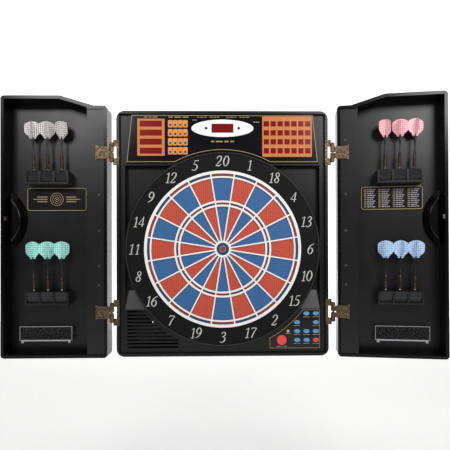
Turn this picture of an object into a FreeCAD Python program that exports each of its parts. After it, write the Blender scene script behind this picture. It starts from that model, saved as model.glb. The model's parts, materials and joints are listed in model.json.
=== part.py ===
"""An electronic dart board in a two-door wall cabinet, as a parametric assembly.

Frame: millimetres, +Z up, the front faces -Y and X runs to the viewer's right.
The origin is on the wall plane, straight behind the middle of the board.  A depth
is a distance out of the wall, so a point at depth d has y = -d.  The pieces of a
door are drawn round the door's hinge axis and then placed on it.
"""
import FreeCAD, Part
import math
import os
import Sketcher

Vector = FreeCAD.Vector
Constraint = Sketcher.Constraint
START, END, CENTRE = 1, 2, 3
ORIGIN, Z_LINE = -1, -2

doc = FreeCAD.newDocument("DartCabinet")
sheet = doc.addObject("Spreadsheet::Sheet", "Dims")
nodes = []


# ---------------------------------------------------------------- sizes

class Size:
    """A length with its number and the expression that a property is bound to."""

    def __init__(self, number, text):
        self.number = number
        self.text = text

    def __add__(self, other):
        return joined(self, "+", other)

    def __radd__(self, other):
        return joined(other, "+", self)

    def __sub__(self, other):
        return joined(self, "-", other)

    def __rsub__(self, other):
        return joined(other, "-", self)

    def __mul__(self, other):
        return joined(self, "*", other)

    def __rmul__(self, other):
        return joined(other, "*", self)

    def __truediv__(self, other):
        return joined(self, "/", other)

    def __neg__(self):
        return joined(0, "-", self)


def size(thing):
    """Anything as a Size: a plain number becomes its own expression."""
    if isinstance(thing, Size):
        return thing
    return Size(float(thing), f"({float(thing)})")


def joined(left, sign, right):
    """Two sizes with an arithmetic sign between them."""
    left = size(left)
    right = size(right)
    a = left.number
    b = right.number
    number = {"+": a + b, "-": a - b, "*": a * b, "/": a / b if b else 0.0}[sign]
    return Size(number, f"({left.text} {sign} {right.text})")


def root(square):
    """The square root of a size."""
    return Size(math.sqrt(square.number), f"sqrt({square.text})")


class Dims:
    """The driving dimensions: each one a cell of the sheet and an attribute here."""

    def __init__(self, table):
        for row, (alias, value) in enumerate(table, start=1):
            sheet.set(f"A{row}", alias.replace("_", " "))
            sheet.set(f"B{row}", str(value))
            sheet.setAlias(f"B{row}", alias)
            setattr(self, alias, Size(float(value), f"Dims.{alias}"))


dim = Dims([
    # main unit
    ("unit_width", 530), ("unit_top", 346), ("unit_base", -268), ("unit_depth", 62),
    ("unit_corner", 20), ("wall", 3), ("rim_width", 7), ("rim_step", 8),
    ("recess_margin", 20), ("recess_drop", 135), ("recess_lift", 117),
    ("recess_ramp", 46), ("recess_depth", 16), ("drum_margin", 3), ("opening_gap", 2),
    ("cover_thickness", 3), ("fit", 0.3), ("boss_radius", 5), ("keyhole_radius", 5.5),
    ("keyhole_slot", 5.2), ("keyhole_x", 180), ("keyhole_low", -190), ("keyhole_high", 290),
    # console over the board
    ("console_gap", 5.5), ("console_top_margin", 36), ("console_base_margin", 23),
    ("arc_gap", 5), ("console_height", 4),
    ("overlay_thickness", 1.2), ("lens_thickness", 3.6),
    ("score_lens_width", 55), ("score_lens_height", 15), ("score_margin", 85.5),
    ("score_lens_pitch", 22.6), ("lens_rows_drop", 57.5),
    ("cricket_lens_size", 13.4), ("cricket_margin", 102.5), ("cricket_pitch", 17.4),
    ("badge_drop", 35), ("badge_wide", 78), ("badge_high", 22), ("badge_thickness", 2),
    ("centre_lens_width", 55), ("centre_lens_height", 23),
    # board
    ("ring_width", 46), ("ring_thickness", 3), ("ring_bead", 2.5), ("ring_bead_height", 1.2),
    ("spider_radius", 197), ("spider_depth", 10), ("flange_width", 6),
    ("outer_band", 7), ("double_width", 7), ("double_band", 4),
    ("single_inner", 121.7), ("triple_band", 4.7), ("triple_width", 5.4),
    ("inner_inner", 21), ("bull_outer", 15.8), ("bull_inner", 6.4),
    ("wire_half", 1.7), ("segment_gap", 0.3), ("segment_drop", 2.5), ("segment_lip", 0.8),
    ("lip_thickness", 1.8), ("segment_travel", 1.2),
    ("mat_thickness", 2), ("membrane_thickness", 0.5), ("backing_thickness", 4),
    ("backing_radius", 232), ("backing_screw_radius", 225), ("mat_margin", 3),
    # controls and sound
    ("panel_margin", 20.5), ("panel_width", 127.5), ("panel_lift", 17), ("panel_height", 98),
    ("panel_thickness", 1), ("button_wide", 7.8), ("button_high", 5),
    ("button_rise", 3), ("button_gap", 0.3), ("big_button", 12.2), ("lamp_radius", 3.5),
    ("grille_pitch", 8.9), ("grille_slot", 4.4), ("grille_margin", 25), ("grille_width", 128),
    ("speaker_margin", 69), ("speaker_lift", 56), ("speaker_radius", 24),
    ("jack_x", 60), ("jack_depth", 22), ("jack_radius", 5), ("jack_bore", 2.8),
    # hinges
    ("hinge_offset", 11.5), ("hinge_upper", 242), ("hinge_lower", -158), ("closed_gap", 0.6),
    ("knuckle_radius", 5.5), ("barrel_height", 46), ("pin_radius", 2.5), ("pin_fit", 0.05), ("pin_head", 0.7),
    ("leaf_thickness", 1.5), ("knuckle_split", 14.5), ("knuckle_gap", 0.3),
    ("cabinet_leaf_width", 18.5), ("cabinet_leaf_height", 64), ("ear_height", 17.5),
    ("door_leaf_width", 32), ("door_leaf_height", 37), ("door_leaf_start", 8.5),
    # doors
    ("door_meeting", 2), ("door_depth", 48), ("door_below", 2.5), ("door_above", 13),
    ("door_rise", 25), ("slope_start", 34), ("slope_end", 117), ("door_rim", 8),
    ("door_wall", 3), ("door_corner", 9), ("stile_width", 51), ("stile_drop", 2.5),
    ("stile_thickness", 2.5), ("right_door_ajar", 9), ("left_door_ajar", 0),
    ("grip_z", 75), ("grip_deep", 46), ("grip_tall", 152), ("grip_height", 22),
    ("plate_start", 63), ("plate_width", 155), ("plate_height", 62), ("plate_z", 130),
    ("holder_middle", 155), ("holder_width", 109), ("holder_height", 33), ("holder_reach", 33),
    ("holder_upper", 165), ("holder_lower", -140.5), ("holder_lip", 4), ("dart_pitch", 35),
    ("dart_stand", 22.5), ("tray_middle", 159), ("tray_width", 131), ("tray_height", 38),
    ("tray_base", -232), ("tray_depth", 26), ("tray_wall", 2),
    ("magnet_size", 10), ("magnet_z", 77.5), ("magnet_thickness", 3),
    # screws and darts
    ("screw_head", 3.2), ("screw_sink", 1.5), ("screw_shank", 1.5), ("screw_length", 10),
    ("screw_fit", 0.1), ("tip_length", 46), ("tip_radius", 1.1), ("barrel_length", 42),
    ("barrel_radius", 3.4), ("shaft_length", 40), ("shaft_radius", 2), ("flight_height", 46),
    ("flight_half", 19.5), ("flight_sheet", 0.6),
])
doc.recompute()

unit_height = dim.unit_top - dim.unit_base
unit_middle = (dim.unit_top + dim.unit_base) / 2
half_width = dim.unit_width / 2
recess_half_width = half_width - dim.recess_margin
recess_top = dim.unit_top - dim.recess_drop
recess_base = dim.unit_base + dim.recess_lift
hinge_x = half_width + dim.hinge_offset
door_width = half_width - dim.door_meeting / 2
door_base = dim.unit_base - dim.door_below
door_low_top = dim.unit_top + dim.door_above
door_high_top = door_low_top + dim.door_rise
face = dim.unit_depth - dim.rim_step
skin_back = face - dim.wall
spider_back = skin_back - 1
spider_front = spider_back + dim.spider_depth
console_front = face + dim.console_height
overlay_front = console_front + dim.overlay_thickness
panel_front = face + dim.panel_thickness
console_top = dim.unit_top - dim.rim_step
console_base = recess_top + dim.console_gap
console_half_top = half_width - dim.console_top_margin
console_half_base = half_width - dim.console_base_margin
lens_rows_z = console_top - dim.lens_rows_drop
badge_z = console_top - dim.badge_drop
score_lens_x = dim.score_margin - half_width
cricket_x = half_width - dim.cricket_margin
ring_radius = dim.spider_radius + dim.ring_width
double_outer = dim.spider_radius - dim.outer_band
double_inner = double_outer - dim.double_width
single_outer = double_inner - dim.double_band
triple_outer = dim.single_inner - dim.triple_band
triple_inner = triple_outer - dim.triple_width
inner_outer = triple_inner - dim.triple_band
opening_radius = dim.spider_radius + dim.opening_gap
spider_flange = dim.spider_radius + dim.flange_width
mat_radius = dim.spider_radius + dim.mat_margin
drum_radius = ring_radius + dim.drum_margin
console_arc = ring_radius + dim.arc_gap
panel_right = half_width - dim.panel_margin
panel_left = panel_right - dim.panel_width
panel_base = dim.unit_base + dim.panel_lift
panel_top = panel_base + dim.panel_height
panel_arc = console_arc + 4
grille_arc = console_arc + 6
grille_left = dim.grille_margin - half_width
grille_right = grille_left + dim.grille_width
speaker_x = dim.speaker_margin - half_width
speaker_z = dim.unit_base + dim.speaker_lift


# ---------------------------------------------------------------- features

def bind(thing, path, length):
    """Binds a property to a size's expression."""
    thing.setExpression(path, size(length).text)


def put(thing, x=0, depth=0, z=0, turn=FreeCAD.Rotation()):
    """Places an object, with its place bound to the sizes it comes from."""
    x = size(x)
    y = -size(depth)
    z = size(z)
    thing.Placement = FreeCAD.Placement(Vector(x.number, y.number, z.number), turn)
    bind(thing, "Placement.Base.x", x)
    bind(thing, "Placement.Base.y", y)
    bind(thing, "Placement.Base.z", z)
    return thing


def new_body(label):
    """An empty body that may hold several loose solids."""
    body = doc.addObject("PartDesign::Body", label)
    body.Label = label
    body.AllowCompound = True
    return body


def sketch(body, depth=0, role="XZ_Plane"):
    """A sketch on one of the body's own planes; on XZ it lies at that depth, facing the room."""
    made = body.newObject("Sketcher::SketchObject", body.Name + "Sketch")
    plane = [part for part in body.Origin.OriginFeatures if part.Role == role][0]
    made.AttachmentSupport = [(plane, "")]
    made.MapMode = "FlatFace"
    bind(made, "AttachmentOffset.Base.z", depth)
    return made


def fix(drawing, kind, *where, value=None):
    """Adds a constraint; with a value, its size is bound."""
    if value is None:
        drawing.addConstraint(Constraint(kind, *where))
        return
    value = size(value)
    index = drawing.addConstraint(Constraint(kind, *where, value.number))
    bind(drawing, f"Constraints[{index}]", value)


def fix_point(drawing, item, end, x, z):
    """Fixes one end of an element at a place."""
    fix(drawing, "DistanceX", ORIGIN, START, item, end, value=x)
    fix(drawing, "DistanceY", ORIGIN, START, item, end, value=z)


def outline(drawing, points):
    """A closed outline of straight lines through the points."""
    spots = [Vector(size(x).number, size(z).number, 0) for x, z in points]
    lines = []
    for first, second in zip(spots, spots[1:] + spots[:1]):
        lines.append(drawing.addGeometry(Part.LineSegment(first, second), False))
    for line, following in zip(lines, lines[1:] + lines[:1]):
        fix(drawing, "Coincident", line, END, following, START)
    for line, (x, z) in zip(lines, points):
        fix_point(drawing, line, START, x, z)
    return drawing


def box(drawing, middle_x, middle_z, width, height):
    """A rectangle given by its middle and its sides."""
    left = middle_x - size(width) / 2
    right = middle_x + size(width) / 2
    low = middle_z - size(height) / 2
    high = middle_z + size(height) / 2
    return outline(drawing, [(left, low), (right, low), (right, high), (left, high)])


def disc(drawing, radius, x=0, z=0):
    """A circle."""
    spot = Vector(size(x).number, size(z).number, 0)
    item = drawing.addGeometry(Part.Circle(spot, Vector(0, 0, 1), size(radius).number), False)
    fix(drawing, "Radius", item, value=radius)
    fix_point(drawing, item, CENTRE, x, z)
    return drawing


def oval(drawing, x, z, wide, high):
    """An ellipse with its long axis level; wide and high are its half axes."""
    middle = Vector(size(x).number, size(z).number, 0)
    a = Vector(size(wide).number, 0, 0)
    b = Vector(0, size(high).number, 0)
    item = drawing.addGeometry(Part.Ellipse(middle + a, middle + b, middle), False)
    drawing.exposeInternalGeometry(item)
    fix(drawing, "Distance", item + 1, value=2 * size(wide))
    fix(drawing, "Distance", item + 2, value=2 * size(high))
    fix(drawing, "Horizontal", item + 1)
    fix_point(drawing, item, CENTRE, x, z)
    return drawing


def sector(drawing, inner, outer, half_gap, half_angle=9):
    """A board segment: two arcs, and two sides that run parallel to the wires beside it."""
    turn = math.radians(half_angle)
    upright = math.pi / 2
    reach = {}
    for radius in (inner, outer):
        reach[radius] = turn - math.asin(size(half_gap).number / radius.number)

    def arc(radius):
        circle = Part.Circle(Vector(0, 0, 0), Vector(0, 0, 1), radius.number)
        half = reach[radius]
        return drawing.addGeometry(Part.ArcOfCircle(circle, upright - half, upright + half), False)

    def corner(radius, side):
        half = reach[radius]
        return Vector(side * radius.number * math.sin(half), radius.number * math.cos(half), 0)

    top = arc(outer)
    bottom = arc(inner)
    left = drawing.addGeometry(Part.LineSegment(corner(outer, -1), corner(inner, -1)), False)
    right = drawing.addGeometry(Part.LineSegment(corner(inner, 1), corner(outer, 1)), False)
    fix(drawing, "Coincident", top, CENTRE, ORIGIN, START)
    fix(drawing, "Coincident", bottom, CENTRE, ORIGIN, START)
    fix(drawing, "Coincident", top, END, left, START)
    fix(drawing, "Coincident", left, END, bottom, END)
    fix(drawing, "Coincident", bottom, START, right, START)
    fix(drawing, "Coincident", right, END, top, START)
    drawing.addConstraint(Constraint("Symmetric", top, START, top, END, Z_LINE))
    drawing.addConstraint(Constraint("Symmetric", bottom, START, bottom, END, Z_LINE))
    fix(drawing, "Radius", top, value=outer)
    fix(drawing, "Radius", bottom, value=inner)
    fix(drawing, "Distance", ORIGIN, START, right, value=half_gap)
    drawing.addConstraint(Constraint("Angle", right, START, Z_LINE, START, turn))
    return drawing


def feature(body, kind, drawing, length, middle=False):
    """A pad or a pocket of a sketch; a front sketch pads to the room and cuts to the wall."""
    made = body.newObject("PartDesign::" + kind, body.Name + kind)
    made.Profile = drawing
    bind(made, "Length", length)
    if middle:
        made.Midplane = True
    body.Tip = made
    return made


def pad(body, drawing, length, middle=False):
    """Adds a sketch's prism to a body."""
    return feature(body, "Pad", drawing, length, middle)


def cut(body, drawing, length, middle=False):
    """Takes a sketch's prism out of a body, and checks that something was there."""
    doc.recompute()
    before = body.Shape.Volume
    made = feature(body, "Pocket", drawing, length, middle)
    doc.recompute()
    if body.Shape.Volume > before - 0.01:
        raise ValueError(f"{made.Name} cuts nothing")
    return made


def spin(body, drawing):
    """Turns a sketch round the body's Z axis."""
    made = body.newObject("PartDesign::Revolution", body.Name + "Turned")
    made.Profile = drawing
    axis = [part for part in body.Origin.OriginFeatures if part.Role == "Z_Axis"][0]
    made.ReferenceAxis = (axis, [""])
    made.Angle = 360
    body.Tip = made
    return made


def repeat_round(body, features, count):
    """Repeats features round the middle of the board."""
    pattern = body.newObject("PartDesign::PolarPattern", body.Name + "Round")
    pattern.Originals = features
    axis = [part for part in body.Origin.OriginFeatures if part.Role == "Y_Axis"][0]
    pattern.Axis = (axis, [""])
    pattern.Angle = 360
    pattern.Occurrences = count
    body.Tip = pattern
    return pattern


def round_edges(body, radius, wanted):
    """Fillets the edges of the body's tip that the test picks."""
    doc.recompute()
    base = body.Tip
    names = []
    for number, edge in enumerate(base.Shape.Edges, start=1):
        if wanted(edge):
            names.append(f"Edge{number}")
    fillet = body.newObject("PartDesign::Fillet", body.Name + "Fillet")
    fillet.Base = (base, names)
    bind(fillet, "Radius", radius)
    body.Tip = fillet
    return fillet


def runs_deep(edge):
    """True for a straight edge that runs from front to back."""
    reach = edge.BoundBox
    return reach.XLength < 0.01 and reach.ZLength < 0.01


def at_depth(depth):
    """A test for edges that lie wholly at one depth."""
    level = -size(depth).number

    def test(edge):
        return abs(edge.BoundBox.YMin - level) < 0.01 and abs(edge.BoundBox.YMax - level) < 0.01

    return test


def screw_hole(body, x, depth, z, to_room=True, sunk=True):
    """A hole for a screw whose head lies flush at a depth, facing the room or the wall."""
    turn = FreeCAD.Rotation(Vector(1, 0, 0), -90 if to_room else 90)
    shank = body.newObject("PartDesign::SubtractiveCylinder", body.Name + "ScrewHole")
    bind(shank, "Radius", dim.screw_shank + dim.screw_fit)
    bind(shank, "Height", dim.screw_length + 0.5)
    put(shank, x, depth, z, turn)
    if sunk:
        head = body.newObject("PartDesign::SubtractiveCone", body.Name + "ScrewSink")
        bind(head, "Radius1", dim.screw_head + dim.screw_fit)
        bind(head, "Radius2", dim.screw_shank + dim.screw_fit)
        bind(head, "Height", dim.screw_sink)
        put(head, x, depth, z, turn)
    body.Tip = body.Group[-1]


def keep(thing, label=None):
    """Counts an object as one of the assembly's nodes."""
    if label:
        thing.Label = label
    nodes.append(thing)
    return thing


def copies(label, master, places):
    """A node of identical pieces: links to one master, each with its own place."""
    group = doc.addObject("Part::Compound", label)
    links = []
    for x, depth, z, turn in places:
        link = doc.addObject("App::Link", master.Name + "Copy")
        link.LinkedObject = master
        links.append(put(link, x, depth, z, turn))
    group.Links = links
    return keep(group, label)


# ---------------------------------------------------------------- where the screws go

boss_x = half_width - dim.wall - dim.boss_radius - 2.5
cover_screws = [(side * boss_x, z) for side in (-1, 1) for z in (
    dim.unit_base + 26, recess_base + 60, recess_top - 90, dim.unit_top - 28)]
backing_screws = [(dim.backing_screw_radius * math.cos(math.radians(a)),
                   dim.backing_screw_radius * math.sin(math.radians(a)))
                  for a in range(0, 360, 60)]
hinge_heights = (dim.hinge_upper, dim.hinge_lower)
ear_screw_x = hinge_x - dim.cabinet_leaf_width + 3.5
ear_screw_rise = dim.cabinet_leaf_height / 2 - 6
ear_screws = [(side * ear_screw_x, z + way * ear_screw_rise)
              for side in (-1, 1) for z in hinge_heights for way in (-1, 1)]

# buttons: name, x, z, of the elliptical ones in the corner panel
key_columns = [panel_right - across for across in (58, 34.3, 10.5)]
key_rows = [panel_base + up for up in (88, 66, 43.5, 21.4)]
keys = [("player_button", 1, 0), ("option_button", 2, 0), ("double_button", 0, 1),
        ("start_button", 2, 1), ("select_button", 0, 2), ("score_button", 1, 2),
        ("sound_button", 2, 2), ("handicap_button", 0, 3), ("reset_button", 1, 3),
        ("power_button", 2, 3)]
keys = [(name, key_columns[column], key_rows[row]) for name, column, row in keys]
big_button_place = (panel_right - 96.9, key_rows[3])
lamp_place = (panel_right - 80.7, key_rows[2])


# ---------------------------------------------------------------- main unit

def front_housing():
    """The moulded front: a shell open to the wall, with side recesses and a drum for the board."""
    body = new_body("front_housing")
    pad(body, box(sketch(body), 0, unit_middle, dim.unit_width, unit_height), dim.unit_depth)
    round_edges(body, dim.unit_corner, runs_deep)
    inner = dim.unit_width - 2 * dim.rim_width
    tall = unit_height - 2 * dim.rim_width
    cut(body, box(sketch(body, dim.unit_depth), 0, unit_middle, inner, tall), dim.rim_step)
    inner = dim.unit_width - 2 * dim.wall
    tall = unit_height - 2 * dim.wall
    hollow = box(sketch(body, skin_back), 0, unit_middle, inner, tall)
    cut(body, hollow, skin_back)

    floor = face - dim.recess_depth
    ramp = recess_base + dim.recess_ramp
    for grow, half, act in ((dim.wall, recess_half_width + dim.wall, pad),
                            (size(0), recess_half_width, cut)):
        top = recess_top + grow
        side_view = sketch(body, 0, "YZ_Plane")
        outline(side_view, [(-face, top), (grow - floor, top),
                            (grow - floor, ramp - grow), (-face, recess_base - grow)])
        act(body, side_view, 2 * half, middle=True)
    pad(body, disc(sketch(body, floor - dim.wall), drum_radius), dim.recess_depth + dim.wall)
    cut(body, disc(sketch(body, skin_back), drum_radius - dim.wall), dim.recess_depth)
    cut(body, disc(sketch(body, face), opening_radius), dim.wall)

    console = sketch(body, face)
    outline(console, [(-console_half_base, console_base),
                      (console_half_base, console_base),
                      (console_half_top, console_top),
                      (-console_half_top, console_top)])
    pad(body, console, dim.console_height)
    cut(body, disc(sketch(body, console_front), console_arc), dim.console_height)
    windows = sketch(body, console_front)
    box(windows, score_lens_x, lens_rows_z, dim.score_lens_width + 4,
        3 * dim.score_lens_pitch + dim.score_lens_height + 4)
    box(windows, size(0), badge_z, dim.centre_lens_width + 4, dim.centre_lens_height + 4)
    box(windows, cricket_x, lens_rows_z, 6 * dim.cricket_pitch + dim.cricket_lens_size + 4,
        3 * dim.score_lens_pitch + dim.cricket_lens_size + 4)
    cut(body, windows, dim.console_height + dim.wall)

    posts = sketch(body, dim.cover_thickness)
    for x, z in cover_screws:
        disc(posts, dim.boss_radius, x, z)
    pad(body, posts, skin_back - dim.cover_thickness)
    posts = sketch(body, spider_back - 6)
    for x, z in backing_screws:
        disc(posts, dim.boss_radius, x, z)
    pad(body, posts, skin_back - spider_back + 6)
    for x, z in cover_screws:
        screw_hole(body, x, dim.cover_thickness, z, to_room=False, sunk=False)
    for x, z in backing_screws:
        screw_hole(body, x, spider_back - 6, z, to_room=False, sunk=False)
    for x, z in ear_screws:
        screw_hole(body, x, dim.unit_depth, z, sunk=False)

    seats = sketch(body, dim.unit_depth)
    for side in (-1, 1):
        for z in hinge_heights:
            box(seats, side * (half_width - dim.rim_width / 2), z, dim.rim_width + 0.1,
                dim.cabinet_leaf_height + 1)
    cut(body, seats, dim.leaf_thickness)

    holes = sketch(body, face)
    for name, x, z in keys:
        oval(holes, x, z, dim.button_wide + dim.button_gap, dim.button_high + dim.button_gap)
    disc(holes, dim.big_button + dim.button_gap, *big_button_place)
    disc(holes, dim.lamp_radius + 0.05, *lamp_place)
    cut(body, holes, dim.wall)

    slots = sketch(body, face)
    for step in range(11):
        z = panel_top - 4 - step * dim.grille_pitch
        right = -root(grille_arc * grille_arc - z * z)
        if right.number > grille_right.number:
            right = grille_right
        box(slots, (grille_left + right) / 2, z, right - grille_left, dim.grille_slot)
    cut(body, slots, dim.wall)
    jack = body.newObject("PartDesign::SubtractiveCylinder", "JackHole")
    bind(jack, "Radius", dim.jack_radius + 0.05)
    bind(jack, "Height", 2 * dim.wall)
    put(jack, dim.jack_x, dim.jack_depth, dim.unit_base - 1)
    body.Tip = jack
    keep(body)


def rear_cover():
    """The flat back, screwed into the housing's posts, with four keyholes to hang it by."""
    body = new_body("rear_cover")
    inset = 2 * (dim.wall + dim.fit)
    pad(body, box(sketch(body), 0, unit_middle, dim.unit_width - inset, unit_height - inset),
        dim.cover_thickness)
    round_edges(body, dim.unit_corner - dim.wall, runs_deep)
    keyholes = sketch(body, dim.cover_thickness)
    narrow = sketch(body, dim.cover_thickness)
    for side in (-1, 1):
        for z in (dim.keyhole_low, dim.keyhole_high):
            disc(keyholes, dim.keyhole_radius, side * dim.keyhole_x, z)
            box(narrow, side * dim.keyhole_x, z + dim.keyhole_radius + 3.5, dim.keyhole_slot, 12)
    cut(body, keyholes, dim.cover_thickness)
    cut(body, narrow, dim.cover_thickness)
    for x, z in cover_screws:
        screw_hole(body, x, 0, z, to_room=False)
    keep(body)


def board_pieces():
    """What lies behind and round the segments: backing, membrane, mat, spider and number ring."""
    backing = new_body("backing_plate")
    start = spider_back - 6 - dim.backing_thickness
    pad(backing, disc(sketch(backing, start), dim.backing_radius), dim.backing_thickness)
    for x, z in backing_screws:
        screw_hole(backing, x, start, z, to_room=False)
    keep(backing)

    start = start + dim.backing_thickness
    membrane = new_body("sensor_membrane")
    pad(membrane, disc(sketch(membrane, start), mat_radius), dim.membrane_thickness)
    keep(membrane)
    start = start + dim.membrane_thickness
    mat = new_body("rubber_mat")
    pad(mat, disc(sketch(mat, start), mat_radius), dim.mat_thickness)
    keep(mat)

    spider = new_body("spider")
    pad(spider, disc(sketch(spider, spider_back), dim.spider_radius), dim.spider_depth)
    flange = disc(sketch(spider, spider_back), spider_flange)
    pad(spider, disc(flange, dim.spider_radius - 1), skin_back - spider_back - 0.05)
    doc.recompute()
    openings = sketch(spider, spider_front)
    for inner, outer in rings:
        sector(openings, inner, outer, dim.wire_half)
    hole = feature(spider, "Pocket", openings, dim.spider_depth)
    repeat_round(spider, [hole], 20)
    cut(spider, disc(sketch(spider, spider_front), dim.bull_outer), dim.spider_depth)
    keep(spider)

    ring = new_body("number_ring")
    start = face + 0.05
    flat = disc(sketch(ring, start), ring_radius)
    pad(ring, disc(flat, opening_radius - 0.5), dim.ring_thickness)
    bead = disc(sketch(ring, start), ring_radius)
    pad(ring, disc(bead, ring_radius - dim.ring_bead),
        dim.ring_thickness + dim.ring_bead_height)
    keep(ring)


rings = [(double_inner, double_outer), (dim.single_inner, single_outer),
         (triple_inner, triple_outer), (dim.inner_inner, inner_outer)]
segment_front = spider_front - dim.segment_drop
lip_back = spider_back - 0.2 - dim.lip_thickness


def segment_set(label, which, turned):
    """Ten segments of a colour, each with a lip behind the spider that keeps it in."""
    body = new_body(label)
    lips = sketch(body, lip_back)
    faces = sketch(body, lip_back + dim.lip_thickness)
    for inner, outer in which:
        sector(lips, inner - dim.segment_lip, outer + dim.segment_lip,
               dim.wire_half - dim.segment_lip)
        sector(faces, inner + dim.segment_gap, outer - dim.segment_gap,
               dim.wire_half + dim.segment_gap)
    lip = pad(body, lips, dim.lip_thickness)
    block = pad(body, faces, segment_front - lip_back - dim.lip_thickness)
    repeat_round(body, [lip, block], 10)
    if turned:
        body.Placement = FreeCAD.Placement(Vector(), FreeCAD.Rotation(Vector(0, 1, 0), 18))
    keep(body)


def segments():
    """The coloured pieces that a dart hits; 20 is blue, and its double and treble are red."""
    double, outer_single, triple, inner_single = rings
    segment_set("double_segments_red", [double], False)
    segment_set("double_segments_blue", [double], True)
    segment_set("triple_segments_red", [triple], False)
    segment_set("triple_segments_blue", [triple], True)
    segment_set("single_segments_blue", [outer_single, inner_single], False)
    segment_set("single_segments_red", [outer_single, inner_single], True)
    gap = dim.segment_gap
    for label, inner, outer in (("outer_bull", dim.bull_inner + gap, dim.bull_outer - gap),
                                ("inner_bull", None, dim.bull_inner)):
        body = new_body(label)
        lip = disc(sketch(body, lip_back), outer + (dim.segment_lip if inner else 0))
        block = disc(sketch(body, lip_back), outer)
        if inner:
            disc(lip, inner)
            disc(block, inner)
        pad(body, lip, dim.lip_thickness)
        pad(body, block, segment_front - lip_back)
        keep(body)


def display_pieces():
    """The console's overlay, its lenses and the oval bezel round the middle display."""
    overlay = new_body("display_overlay")
    trim = 1.5
    face_plan = sketch(overlay, console_front)
    outline(face_plan, [(trim - console_half_base, console_base + trim),
                        (console_half_base - trim, console_base + trim),
                        (console_half_top - trim, console_top - trim),
                        (trim - console_half_top, console_top - trim)])
    pad(overlay, face_plan, dim.overlay_thickness)
    cut(overlay, disc(sketch(overlay, overlay_front), console_arc + trim),
        dim.overlay_thickness)
    room = dim.fit
    holes = sketch(overlay, overlay_front)
    for x, z in score_places():
        box(holes, x, z, dim.score_lens_width + room, dim.score_lens_height + room)
    for x, z in cricket_places():
        box(holes, x, z, dim.cricket_lens_size + room, dim.cricket_lens_size + room)
    box(holes, size(0), badge_z, dim.centre_lens_width + room, dim.centre_lens_height + room)
    cut(overlay, holes, dim.overlay_thickness)
    keep(overlay)

    start = overlay_front - 0.2 - dim.lens_thickness
    for label, places, width, height in (
            ("score_display_lenses", score_places(), dim.score_lens_width, dim.score_lens_height),
            ("cricket_display_lenses", cricket_places(), dim.cricket_lens_size,
             dim.cricket_lens_size),
            ("centre_display_lens", [(size(0), badge_z)], dim.centre_lens_width,
             dim.centre_lens_height)):
        body = new_body(label)
        plan = sketch(body, start)
        for x, z in places:
            box(plan, x, z, width, height)
        pad(body, plan, dim.lens_thickness)
        keep(body)

    badge = new_body("display_bezel")
    pad(badge, oval(sketch(badge, overlay_front), 0, badge_z, dim.badge_wide, dim.badge_high),
        dim.badge_thickness)
    round_edges(badge, 1.2, at_depth(overlay_front + dim.badge_thickness))
    cut(badge, box(sketch(badge, overlay_front + dim.badge_thickness), size(0), badge_z,
                   dim.centre_lens_width, dim.centre_lens_height), dim.badge_thickness)
    keep(badge)


def score_places():
    """The middles of the four score displays."""
    pitch = dim.score_lens_pitch
    return [(score_lens_x, lens_rows_z + (1.5 - row) * pitch) for row in range(4)]


def cricket_places():
    """The middles of the small displays, seven across and four down."""
    return [(cricket_x + (column - 3) * dim.cricket_pitch,
             lens_rows_z + (1.5 - row) * dim.score_lens_pitch)
            for row in range(4) for column in range(7)]


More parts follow.
